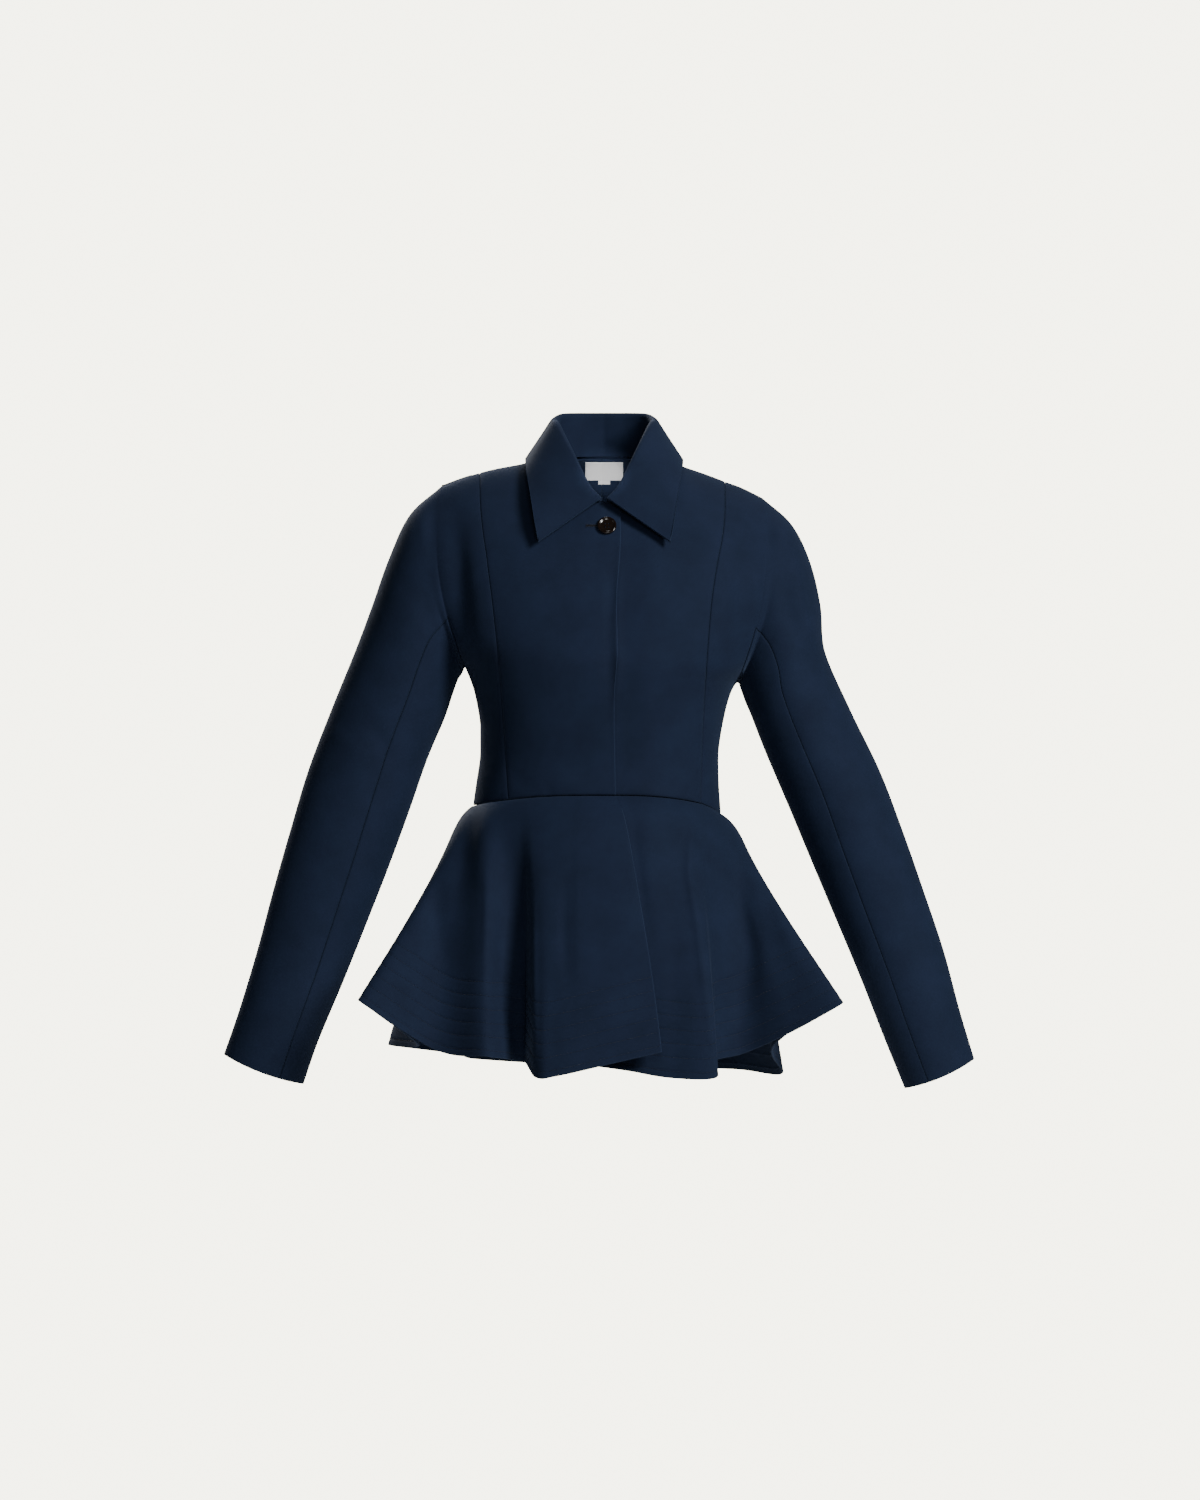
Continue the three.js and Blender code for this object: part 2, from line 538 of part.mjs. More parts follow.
function buildBody() {
  const cloth = newCloth();
  for (const side of ['right', 'left']) {
    for (const face of ['front', 'back']) {
      const first = face === 'front' ? -1 : 0;
      const sideName = face === 'front' ? 'side_front_sleeve_' : 'side_back_sleeve_';
      const centreName = face === 'front' ? 'centre_front_' : 'centre_back_';
      const pieceOf = (row, k) => (k + first < PRINCESS_COL ? centreName : sideName) + side;
      addGrid(cloth, bodiceGrid(face, side), pieceOf, () => BODY_CENTRE[side]);
    }
    const rings = [];
    for (let ring = 0; ring <= RINGS; ring += 1) rings.push(sleeveRing(side, ring));
    const centre = (ring) => rings[ring][0].clone().add(rings[ring][ARM_ROWS]).multiplyScalar(0.5);
    const pieceOf = (ring, m) => {
      if (m < SEAM_ROW) return 'side_front_sleeve_' + side;
      return (m >= 2 * ARM_ROWS - SEAM_ROW ? 'side_back_sleeve_' : 'undersleeve_') + side;
    };
    addGrid(cloth, rings, pieceOf, centre);
  }
  return cloth;
}

// The waist line from the over front's edge round the back to the under front's edge
function waistLine() {
  const bottom = (face, side) => bodiceGrid(face, side)[ARM_ROWS + WAIST_ROWS];
  const right = [...bottom('front', 'right'), ...bottom('back', 'right').reverse().slice(1)];
  const left = [...bottom('back', 'left').slice(1), ...bottom('front', 'left').reverse().slice(1)];
  return [...right, ...left];
}

// Directions of the waist points, counted on without a jump
function waistDirections(line) {
  let turns = 0;
  let last = 0;
  return line.map((point, i) => {
    let degrees = (Math.atan2(-point.x, -point.y) * 180) / Math.PI;
    if (i > 0 && degrees + turns < last - 180) turns += 360;
    degrees += turns;
    last = degrees;
    return degrees;
  });
}

const hemTrack = {
  x: track(HEM, 'at', 'x', true),
  y: track(HEM, 'at', 'y', true),
  z: track(HEM, 'at', 'z', true),
};
const hemPoint = (at) => vec(hemTrack.x(at), hemTrack.y(at), hemTrack.z(at));

// The foldless hem: the mean of the hem round a direction
function hemMean(at) {
  const first = HEM[0].at;
  const last = HEM[HEM.length - 1].at;
  const reach = Math.min(FOLD_MEAN, at - first, last - at);
  const sum = vec(0, 0, 0);
  for (let i = -FOLD_SAMPLES; i <= FOLD_SAMPLES; i += 1) {
    sum.add(hemPoint(at + (reach * i) / FOLD_SAMPLES));
  }
  return sum.multiplyScalar(1 / (2 * FOLD_SAMPLES + 1));
}

function buildPeplum() {
  const line = waistLine();
  const directions = waistDirections(line);
  const grid = PEPLUM_ROW_AT.map(() => []);
  for (let k = 0; k < (line.length - 1) * PEPLUM_SPLIT + 1; k += 1) {
    const whole = Math.min(line.length - 2, Math.floor(k / PEPLUM_SPLIT));
    const share = k / PEPLUM_SPLIT - whole;
    const waist = line[whole].clone().lerp(line[whole + 1], share);
    const at = lerp(directions[whole], directions[whole + 1], share);
    const mean = hemMean(at);
    const fold = hemPoint(at).sub(mean);
    const away = mean.clone().sub(waist).setZ(0).normalize();
    PEPLUM_ROW_AT.forEach((down, row) => {
      const spring = SPRING * (1 - down ** 3) * (1 - Math.exp(-down / SPRING_START));
      const point = waist.clone().lerp(mean, down).addScaledVector(fold, down ** FOLD_START);
      grid[row].push(point.addScaledVector(away, spring));
    });
  }
  const cloth = newCloth();
  const quarter = SIDE_COL * PEPLUM_SPLIT;
  const frontCols = (SIDE_COL + 1) * PEPLUM_SPLIT;
  const pieceOf = (row, k) => {
    if (k < frontCols) return 'peplum_front_right';
    if (k < frontCols + quarter) return 'peplum_back_right';
    return k < frontCols + 2 * quarter ? 'peplum_back_left' : 'peplum_front_left';
  };
  addGrid(cloth, grid, pieceOf, (row) => vec(0, 0, grid[row][0].z));
  return cloth;
}

// Collar
const collarRows = COLLAR.map((row, at) => ({ ...row, at }));
const collarKeys = ['neck', 'rollX', 'rollY', 'rollZ', 'edgeX', 'edgeY', 'edgeZ', 'radius'];
const collarTracks = Object.fromEntries(collarKeys.map((key) => [key, track(collarRows, 'at', key)]));

// Lifts a collar point clear of the bodice below it
function clearOfBodice(point) {
  const side = point.x < 0 ? 'right' : 'left';
  const c = Math.abs(point.x);
  const face = point.y < RIDGE_Y ? 'front' : 'back';
  const top = shoulderZ[side](c);
  const surface = bodiceY(face, side, c, Math.min(top, point.z));
  const steep = rollIn(top - point.z, FRONT_ROLL);
  const over = face === 'front' ? surface - point.y : point.y - surface;
  const need = COLLAR_LIFT / Math.max(STEEP, steep);
  if (point.z < top + COLLAR_LIFT && over < need) {
    if (steep > STEEP) point.y += (face === 'front' ? -1 : 1) * (need - over);
    else point.z = Math.max(point.z, top + COLLAR_LIFT);
  }
  return point;
}

function collarSection(side, at) {
  const read = Object.fromEntries(collarKeys.map((key) => [key, collarTracks[key](at)]));
  const sign = signOf[side];
  const foot = neckPoint(side, read.neck);
  const inwards = vec(-foot.x, -foot.y, 0).normalize();
  foot.addScaledVector(inwards, COLLAR_WALL / 2 + COLLAR_FOOT_IN).add(vec(0, 0, COLLAR_FOOT_UP));
  const roll = vec(sign * read.rollX, read.rollY, read.rollZ);
  const edge = clearOfBodice(vec(sign * read.edgeX, read.edgeY, read.edgeZ));
  const up = roll.clone().sub(foot.clone().add(edge).multiplyScalar(0.5)).normalize();
  const out = edge.clone().sub(foot);
  out.addScaledVector(up, -out.dot(up)).normalize();
  const round = ROLL_ROUND.map(([outward, below]) => roll.clone()
    .addScaledVector(out, outward * read.radius).addScaledVector(up, -below * read.radius));
  const standMiddle = foot.clone().lerp(round[0], 0.5);
  const top = round[round.length - 1];
  const leaf = LEAF_SPLIT.map((share) => clearOfBodice(top.clone().lerp(edge, share)));
  return [foot, standMiddle, ...round, ...leaf, edge];
}

function buildCollar() {
  const rows = [];
  const last = COLLAR.length - 1;
  const steps = last * COLLAR_SPLIT;
  for (let k = 0; k <= steps; k += 1) rows.push(collarSection('right', k / COLLAR_SPLIT));
  for (let k = steps - 1; k >= 0; k -= 1) rows.push(collarSection('left', k / COLLAR_SPLIT));
  const shift = vec(COLLAR_MIDDLE, 0, 0);
  for (const row of rows) for (const point of row) point.add(shift);
  const cloth = newCloth();
  addGrid(cloth, rows, () => 'collar', () => COLLAR_CENTRE);
  return cloth;
}

// A plain four-hole button with a raised rim, lying on the over front
function buttonGeometry() {
  const edge = BUTTON_EDGE.map(([inset, h]) => new THREE.Vector2(BUTTON.radius - inset, h));
  const foot = new THREE.Vector2(0, edge[0].y);
  const face = new THREE.Vector2(0, edge[edge.length - 1].y);
  let solid = toManifold(new THREE.LatheGeometry([foot, ...edge, face], BUTTON_SIDES));
  const { radius, spread, sides } = BUTTON_HOLE;
  for (const [x, z] of [[spread, spread], [spread, -spread], [-spread, spread], [-spread, -spread]]) {
    const hole = new THREE.CylinderGeometry(radius, radius, BUTTON.thick * 4, sides);
    hole.translate(x, 0, z);
    solid = solid.subtract(toManifold(hole));
  }
  return fromManifold(solid);
}

function toManifold(geometry) {
  const position = geometry.getAttribute('position');
  const index = geometry.getIndex().array;
  const seen = new Map();
  const vertices = [];
  const place = [];
  for (let i = 0; i < position.count; i += 1) {
    const spot = [position.getX(i), position.getY(i), position.getZ(i)];
    const key = spot.map((n) => Math.round(n * 1e4)).join(' ');
    if (!seen.has(key)) {
      seen.set(key, vertices.length / 3);
      vertices.push(...spot);
    }
    place.push(seen.get(key));
  }
  const triangles = [];
  for (let i = 0; i < index.length; i += 3) {
    const [a, b, c] = [place[index[i]], place[index[i + 1]], place[index[i + 2]]];
    if (a !== b && b !== c && c !== a) triangles.push(a, b, c);
  }
  return new wasm.Manifold(new wasm.Mesh({
    numProp: 3,
    vertProperties: new Float32Array(vertices),
    triVerts: new Uint32Array(triangles),
  }));
}

function fromManifold(solid) {
  const mesh = solid.getMesh();
  const geometry = new THREE.BufferGeometry();
  geometry.setAttribute('position', new THREE.Float32BufferAttribute([...mesh.vertProperties], 3));
  geometry.setIndex([...mesh.triVerts]);
  geometry.computeVertexNormals();
  return geometry;
}

// A point this far inside the back, square to its surface
function insideBack(x, z, inset) {
  const at = (px, pz) => {
    const side = px < 0 ? 'right' : 'left';
    return bodiceY('back', side, Math.abs(px), Math.min(pz, NECK.backZ));
  };
  const slopeX = (at(x + SLOPE_STEP, z) - at(x - SLOPE_STEP, z)) / (2 * SLOPE_STEP);
  const slopeZ = (at(x, z) - at(x, z - SLOPE_STEP)) / SLOPE_STEP;
  const normal = vec(-slopeX, 1, -slopeZ).normalize();
  return vec(x, at(x, z), z).addScaledVector(normal, -inset);
}

// A small rectangle that lies on the inside of the back, a row for each height
function backPatch(name, x, width, top, height, inset) {
  const cloth = newCloth();
  const grid = [];
  for (let r = 0; r <= PATCH_ROWS; r += 1) {
    const line = [];
    for (let k = 0; k <= PATCH_COLUMNS; k += 1) {
      const px = x - width / 2 + (width * k) / PATCH_COLUMNS;
      const z = top - (height * r) / PATCH_ROWS;
      line.push(insideBack(px, z, inset));
    }
    grid.push(line);
  }
  addGrid(cloth, grid, () => name, () => FAR_BEHIND);
  return cloth;
}

// Assembly
const jacket = new THREE.Group();

function addPiece(name, geometry, colour, roughness) {
  const material = new THREE.MeshStandardMaterial({ color: colour, roughness, metalness: 0 });
  const mesh = new THREE.Mesh(geometry, material);
  mesh.name = name;
  jacket.add(mesh);
  return mesh;
}

function addClothPieces(cloth, outward, inward, colour) {
  const normals = clothNormals(cloth);
  for (const name of new Set(cloth.faces.map((face) => face.piece))) {
    addPiece(name, pieceWall(cloth, normals, name, outward, inward), colour, CLOTH_ROUGHNESS);
  }
}

addClothPieces(buildBody(), 0, WALL, CLOTH_COLOUR);
addClothPieces(buildPeplum(), 0, WALL, CLOTH_COLOUR);
addClothPieces(buildCollar(), COLLAR_WALL / 2, COLLAR_WALL / 2, CLOTH_COLOUR);

const backInset = WALL + LABEL.gap;
const labelCloth = backPatch('neck_label', LABEL.x, LABEL.width, LABEL.top, LABEL.height, backInset);
addClothPieces(labelCloth, LABEL.thick, 0, LABEL_COLOUR);
const tabTop = LABEL.top - LABEL.height - SEAM_GAP;
const tabCloth = backPatch('size_tab', TAB.x, TAB.width, tabTop, TAB.height, backInset);
addClothPieces(tabCloth, LABEL.thick, 0, LABEL_COLOUR);

// The button lies on the over front, square to it
function placeButton(button) {
  const at = (dx, dz) => bodiceY('front', 'left', BUTTON.x + dx, BUTTON.z + dz);
  const slope = (at(0, BUTTON.radius) - at(0, -BUTTON.radius)) / (2 * BUTTON.radius);
  const normal = vec(0, -1, slope).normalize();
  button.quaternion.setFromUnitVectors(vec(0, 1, 0), normal);
  button.position.set(BUTTON.x, at(0, 0), BUTTON.z).addScaledVector(normal, BUTTON.gap);
}

const button = addPiece('button', buttonGeometry(), BUTTON_COLOUR, BUTTON_ROUGHNESS);
placeButton(button);

export default jacket;
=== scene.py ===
# Peplum jacket, filled out as worn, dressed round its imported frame. Front towards -Y.
import math
import random

import bmesh
import bpy
import numpy as np
from mathutils import Matrix, Vector, kdtree


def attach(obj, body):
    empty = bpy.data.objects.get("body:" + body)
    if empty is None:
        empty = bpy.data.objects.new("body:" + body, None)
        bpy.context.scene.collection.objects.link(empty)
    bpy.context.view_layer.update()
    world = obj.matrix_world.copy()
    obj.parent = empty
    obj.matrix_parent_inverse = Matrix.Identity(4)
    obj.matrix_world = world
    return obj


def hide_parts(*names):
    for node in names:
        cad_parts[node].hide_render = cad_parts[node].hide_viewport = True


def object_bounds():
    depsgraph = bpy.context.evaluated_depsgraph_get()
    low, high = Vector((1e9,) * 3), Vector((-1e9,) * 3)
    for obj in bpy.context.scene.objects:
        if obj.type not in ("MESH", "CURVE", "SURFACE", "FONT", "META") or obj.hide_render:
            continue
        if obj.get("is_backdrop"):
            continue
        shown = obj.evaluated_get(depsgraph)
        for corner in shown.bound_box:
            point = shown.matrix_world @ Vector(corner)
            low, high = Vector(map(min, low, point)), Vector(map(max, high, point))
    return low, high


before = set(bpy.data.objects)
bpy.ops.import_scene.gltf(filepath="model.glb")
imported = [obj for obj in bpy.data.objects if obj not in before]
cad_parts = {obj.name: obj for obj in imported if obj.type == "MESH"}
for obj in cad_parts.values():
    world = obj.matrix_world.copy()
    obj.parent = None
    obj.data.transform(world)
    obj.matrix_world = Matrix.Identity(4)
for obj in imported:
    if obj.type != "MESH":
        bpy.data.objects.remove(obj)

cad_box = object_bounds()
random.seed(7)
MM = 0.001


# The jacket's cut in millimetres: rows run down the bodice, columns from its middle to its side
WALL = 2.0                 # thickness of the cloth
SEAM_GAP = 0.3             # between two pieces at their seam
UNDERLAP = 3.2             # the under front lies this far behind the over front
SECTION_POWER = 2.2        # above 2, the bodice is squarer across than an oval
RIDGE_Y = 10               # the top of the shoulder
FRONT_ROLL = 110           # height over which the shoulder rolls to the front, then to the back
BACK_ROLL = 120
NECK_HALF = 66
NECK_Z = {"front": -43, "side": 4.5, "back": 4}
ARM_ROWS = 10              # from the shoulder to the armpit
WAIST_ROWS = 5             # from the armpit to the waist
NECK_SPREAD = 2.2          # how soon the columns leave the spacing that they have at the neck
SEAM_ROW = 7               # where the undersleeve's seam starts from the armhole
NECK_COLS = 4
PRINCESS_COL = 6
SIDE_COL = 10
RINGS = 22                 # from the armhole to the cuff
SLEEVE_FIT = 1.4           # rings over which the sleeve comes off the armhole line
UNDER_EDGE = 12            # the under front reaches this far past the middle
UNDER_TOP = -46
UNDERLAP_FULL = 22         # it comes forward again between these two distances from the middle
UNDERLAP_END = 60
FOLD_START = 1.4           # the power with which the flutes deepen downwards
FOLD_MEAN = 28             # the degrees, each way, over which the hem's flutes are evened out
FOLD_SAMPLES = 17
SPRING = 17                # the peplum springs out this far below the waist
SPRING_START = 0.05        # within about this share of its height
WAIST = {"front": -356, "right": -367, "left": -376, "back": -364}
COLLAR_WALL = 2.4
COLLAR_LIFT = 4.0          # the least that the collar's leaf stands off the bodice
COLLAR_FOOT_IN = 1.1
COLLAR_FOOT_UP = 1.7
COLLAR_MIDDLE = 2.5
ROLL_ROUND = (0.65, 0.25)  # shares of the roll's radius, outwards and down, halfway round it
LEAF_SPLIT = (0.3, 0.65)   # shares of the leaf from the roll to its edge
STEEP = 0.5                # where the bodice is steeper than this, the leaf is moved out, else up
KEYS_PER_MM = 50           # grid points with one rounded place are one point
SIGN = {"right": -1, "left": 1}


def table(columns, *rows):
    names = columns.split()
    return [dict(zip(names, row)) for row in rows]


HALF_WIDTH = table(
    "z right left",
    (40, 215, 215), (-60, 213, 213), (-100, 206, 207), (-140, 194, 198), (-170, 182, 188),
    (-195, 168, 177), (-220.4, 147, 160), (-234.3, 140.5, 145.5), (-249, 136, 137.5),
    (-281, 130.5, 129.5), (-313, 130.5, 125), (-345, 135, 125.5), (-380, 140, 128))
DEPTH = table(
    "z front back",
    (40, 58, 92), (0, 66, 98), (-43, 73, 104), (-100, 96, 110), (-160, 110, 112),
    (-215, 116, 104), (-280, 105, 91), (-330, 97, 86), (-380, 100, 90))
SHOULDER = table(
    "c right left",
    (0, 25, 25), (40, 14, 14), (66, 4.5, 4.5), (84, -1, -3), (113, -6.5, -13),
    (131, -11, -20), (150, -17, -27), (180, -29, -42))
PRINCESS = table(
    "z right left back",
    (0, 131, 132, 131), (-51, 128, 131, 127), (-105, 123, 124, 119), (-148, 117.7, 117.7, 111),
    (-201, 112, 113.4, 100), (-276, 106, 109, 84), (-360, 100.6, 106, 74))
FRONT_EDGE = table(
    "z x",
    (-50, 20), (-59, 22.5), (-105, 19), (-148, 16), (-201, 17), (-255, 13.5), (-360, 15))
SLEEVE_COLUMNS = "ox oz ix iz front back mid bow seam"
SLEEVE = {
    "right": table(
        SLEEVE_COLUMNS,
        (172, -25, 146.6, -220.4, 62, 66, 8, 14, 116),
        (206.5, -57, 150, -227, 63, 68, 7, 8, 113),
        (229, -105, 154.1, -233.3, 63, 68, 6, 6, 108),
        (246, -153, 159.8, -249.3, 61, 65, 5, 5, 105),
        (264, -201, 168.5, -275, 58, 60, 3, 3, 104),
        (290, -265, 186.5, -317.5, 54, 55, 0, 0, 105),
        (314.6, -329.6, 205.3, -371.5, 51, 52, -4, 0, 107),
        (333.8, -393.8, 227.6, -432.4, 48, 49, -9, 0, 109),
        (352, -458, 251.9, -494.4, 45, 46, -15, 0, 111),
        (369, -522, 276.4, -555.7, 42, 43, -22, 0, 113),
        (388.4, -586.4, 302.4, -617.7, 39, 39, -29, 0, 115),
        (404.6, -633.3, 319, -665.3, 36, 36, -34, 4, 116)),
    "left": table(
        SLEEVE_COLUMNS,
        (172, -38, 145.5, -234.3, 62, 66, 8, 14, 114),
        (203, -66, 147.5, -240, 63, 69, 7, 8, 111),
        (222.6, -105, 150, -247, 63, 70, 6, 6, 107),
        (234.3, -153, 154, -258, 61, 69, 5, 5, 104),
        (238.6, -201, 160, -272, 58, 64, 3, 3, 103),
        (266.4, -265.4, 175.5, -311.7, 54, 56, 0, 0, 104),
        (297.5, -329.6, 200, -369, 51, 52, -4, 0, 106),
        (322.1, -393.8, 225, -429, 48, 49, -9, 0, 109),
        (344.5, -458, 251.5, -492, 45, 46, -15, 0, 111),
        (365.9, -522.2, 277.5, -554.3, 42, 43, -22, 0, 112),
        (383.1, -586.4, 301.7, -616, 39, 39, -29, 0, 112),
        (398.6, -638.3, 323.7, -669.9, 36, 36, -34, 4, 112)),
}
HEM = table(
    "at x y z",
    (-8.7, 64, -214, -629), (3, 12, -215, -641), (26.6, -50, -212, -655),
    (41, -72, -198, -656), (47, -84, -146, -641), (60, -122, -186, -634),
    (71, -178, -152, -627), (79, -257, -168, -576), (87, -240, -92, -590),
    (95, -197, -18, -624), (107, -229, 118, -625), (115, -160, 118, -634),
    (126, -142, 196, -640), (137, -84, 150, -644), (153, -48, 212, -646),
    (175, 4, 158, -648), (198, 62, 206, -650), (216, 92, 150, -650),
    (231, 150, 180, -652), (245, 194, 122, -656), (265.5, 184, 8, -626),
    (274.5, 224, -84, -594), (284, 257, -165, -577), (291.5, 204, -156, -607),
    (301, 150, -128, -632), (307, 119, -160, -640), (312, 123, -202, -656),
    (323.6, 76, -197, -657), (345, 25, -185, -649), (367.5, -34, -176, -641))
COLLAR = table(
    "at neck rollX rollY rollZ edgeX edgeY edgeZ radius",
    (0, 0.02, 3, -76, -40, 71, -98, -87, 2.4), (1, 0.30, 17, -68, -24, 75, -88, -64, 2.6),
    (2, 0.62, 35, -43, 13, 79, -66, -36, 3), (3, 0.85, 48, -14, 39, 83, -34, -10, 3.4),
    (4, 1.00, 52, 10, 45, 84, 8, 2, 3.6), (5, 1.35, 45, 34, 51, 71, 52, -2, 3.6),
    (6, 1.70, 25, 48, 52, 39, 74, -7, 3.6), (7, 2.00, 0, 52, 52, 0, 81, -9, 3.6))


# Curves and surfaces, for arrays of parameters
def spot_keys(points):
    return np.round(points * KEYS_PER_MM).astype(int)


def clamp01(t):
    return np.clip(t, 0.0, 1.0)


def lerp(a, b, t):
    return a + (b - a) * t


def ease(t):
    u = clamp01(t)
    return u * u * (3 - 2 * u)


def unit(v):
    return v / np.maximum(np.linalg.norm(v, axis=-1, keepdims=True), 1e-9)


def track(rows, by, key, loose=False):
    """Smooth curve through a table's column. It doesn't overshoot unless it is loose."""
    ordered = sorted(rows, key=lambda row: row[by])
    at = np.array([row[by] for row in ordered], float)
    value = np.array([row[key] for row in ordered], float)
    before = np.maximum(np.arange(len(at)) - 1, 0)
    after = np.minimum(np.arange(len(at)) + 1, len(at) - 1)
    slopes = (value[after] - value[before]) / (at[after] - at[before])

    def limited(slope, straight):
        held = np.sign(straight) * np.minimum(np.abs(slope), 3 * np.abs(straight))
        return np.where(slope * straight <= 0, 0.0, held)

    def read(t):
        t = np.asarray(t, float)
        i = np.clip(np.searchsorted(at, t, side="left") - 1, 0, len(at) - 2)
        step = at[i + 1] - at[i]
        u = clamp01((t - at[i]) / step)
        a, b = value[i], value[i + 1]
        first, last = slopes[i], slopes[i + 1]
        if not loose:
            straight = (b - a) / step
            first, last = limited(first, straight), limited(last, straight)
        u2, u3 = u * u, u * u * u
        start = a * (2 * u3 - 3 * u2 + 1) + first * step * (u3 - 2 * u2 + u)
        return start + b * (3 * u2 - 2 * u3) + last * step * (u3 - u2)

    return read


half_width = {side: track(HALF_WIDTH, "z", side) for side in SIGN}
shoulder_z = {side: track(SHOULDER, "c", side) for side in SIGN}
depth = {face: track(DEPTH, "z", face) for face in ("front", "back")}
princess = {
    "front": {side: track(PRINCESS, "z", side) for side in SIGN},
    "back": {side: track(PRINCESS, "z", "back") for side in SIGN},
}
front_edge = track(FRONT_EDGE, "z", "x")


def roll_in(drop, over):
    u = clamp01(drop / over)
    return np.sqrt(1 - (1 - u) ** 2)


def bodice_y(face, side, c, z):
    across = np.minimum(1, np.abs(c) / half_width[side](z))
    fall = (1 - across ** SECTION_POWER) ** (1 / SECTION_POWER)
    drop = shoulder_z[side](np.abs(c)) - z
    reach = depth[face](z) * fall
    if face == "front":
        return RIDGE_Y - (RIDGE_Y + reach) * roll_in(drop, FRONT_ROLL)
    return RIDGE_Y + (reach - RIDGE_Y) * roll_in(drop, BACK_ROLL)


def sleeve_section(side, t):
    rows = [dict(row, at=i) for i, row in enumerate(SLEEVE[side])]
    return {key: track(rows, "at", key)(t) for key in SLEEVE_COLUMNS.split()}


def seam_angle(section, m):
    seam = np.radians(section["seam"])
    over = seam * m / SEAM_ROW
    under = lerp(seam, math.pi, (m - SEAM_ROW) / (ARM_ROWS - SEAM_ROW))
    return np.where(m <= SEAM_ROW, over, under)


def section_point(section, angle):
    half_c = (section["ox"] - section["ix"]) / 2
    half_z = (section["oz"] - section["iz"]) / 2
    size = np.hypot(half_c, half_z)
    bow = section["bow"] * np.sin(angle) ** 2
    c = (section["ox"] + section["ix"]) / 2 + half_c * np.cos(angle) + half_z / size * bow
    z = (section["oz"] + section["iz"]) / 2 + half_z * np.cos(angle) - half_c / size * bow
    return c, z


def armhole_point(side, row):
    section = sleeve_section(side, 0.0)
    return section_point(section, seam_angle(section, row))


ARMPIT = {side: float(armhole_point(side, float(ARM_ROWS))[1]) for side in SIGN}
ARMPIT_MIDDLE = (ARMPIT["right"] + ARMPIT["left"]) / 2


def middle_edge(side, z):
    return -front_edge(z) if side == "right" else np.full_like(z, -UNDER_EDGE)


def column_top(face, side, column):
    angle = clamp01(column / NECK_COLS) * math.pi / 2
    neck_z = NECK_Z["side"] - (NECK_Z["side"] - NECK_Z[face]) * np.cos(angle)
    share = clamp01((column - NECK_COLS) / (PRINCESS_COL - NECK_COLS))
    shoulder_c = lerp(NECK_HALF, PRINCESS[0][side], share)
    c = np.where(column <= NECK_COLS, NECK_HALF * np.sin(angle), shoulder_c)
    z = np.where(column <= NECK_COLS, neck_z, shoulder_z[side](shoulder_c))
    past = clamp01(-column)
    edge_z = np.full_like(z, FRONT_EDGE[0]["z"] if side == "right" else UNDER_TOP)
    return lerp(c, middle_edge(side, edge_z), past), lerp(z, edge_z, past)


def row_heights(face, side, column):
    across = clamp01(column / SIDE_COL)
    armpit_z = lerp(ARMPIT_MIDDLE, ARMPIT[side], ease(across))
    waist_z = lerp(WAIST[face], WAIST[side], ease(across) ** 2)
    return armpit_z, waist_z


def centre_flat(face, side, column, row):
    low = clamp01((row - ARM_ROWS) / WAIST_ROWS)
    down = 1 - np.cos(math.pi / 2 * np.minimum(1, row / ARM_ROWS))
    armpit_z, waist_z = row_heights(face, side, column)
    top_c, top_z = column_top(face, side, column)
    z = np.where(low > 0, lerp(armpit_z, waist_z, low), lerp(top_z, armpit_z, down))
    spread = princess[face][side](z) * np.maximum(column, 0) / PRINCESS_COL
    low_c = lerp(spread, middle_edge(side, z), clamp01(-column))
    return lerp(top_c, low_c, ease(down * NECK_SPREAD)), z


def side_flat(face, side, column, row):
    share = clamp01((column - PRINCESS_COL) / (SIDE_COL - PRINCESS_COL))
    low = clamp01((row - ARM_ROWS) / WAIST_ROWS)
    armpit_z, waist_z = row_heights(face, side, column)
    inner_c, inner_z = centre_flat(face, side, np.full_like(column, PRINCESS_COL), row)

    def turn(c, z):
        return np.arcsin(np.minimum(1, c / half_width[side](z)) ** (SECTION_POWER / 2))

    def spread(z, outer_turn):
        angle = lerp(turn(inner_c, inner_z), outer_turn, share)
        return half_width[side](z) * np.sin(angle) ** (2 / SECTION_POWER)

    low_z = lerp(armpit_z, waist_z, low)
    low_c = spread(low_z, math.pi / 2)
    arm_c, arm_z = armhole_point(side, np.minimum(row, ARM_ROWS))
    inner_drop = shoulder_z[side](inner_c) - inner_z
    arm_drop = shoulder_z[side](arm_c) - arm_z
    c = spread(lerp(inner_z, arm_z, share), turn(arm_c, arm_z))
    z = shoulder_z[side](c) - lerp(inner_drop, arm_drop, share)
    c = np.where(share == 1, arm_c, c)
    z = np.where(share == 1, arm_z, z)
    return np.where(low > 0, low_c, c), np.where(low > 0, low_z, z)


def bodice_points(face, side, column, row):
    column, row = np.broadcast_arrays(np.asarray(column, float), np.asarray(row, float))
    middle_c, middle_z = centre_flat(face, side, np.minimum(column, PRINCESS_COL), row)
    side_c, side_z = side_flat(face, side, np.maximum(column, PRINCESS_COL), row)
    c = np.where(column <= PRINCESS_COL, middle_c, side_c)
    z = np.where(column <= PRINCESS_COL, middle_z, side_z)
    y = bodice_y(face, side, c, z)
    y = np.where((row == 0) & (column >= NECK_COLS), RIDGE_Y, y)
    y = np.where((row == ARM_ROWS) & (column == SIDE_COL), 0.0, y)
    x = SIGN[side] * c
    if face == "front" and side == "left":
        under = 1 - ease((x - UNDERLAP_FULL) / (UNDERLAP_END - UNDERLAP_FULL))
        y = y + UNDERLAP * under
    return np.stack([x, y, z], axis=-1)


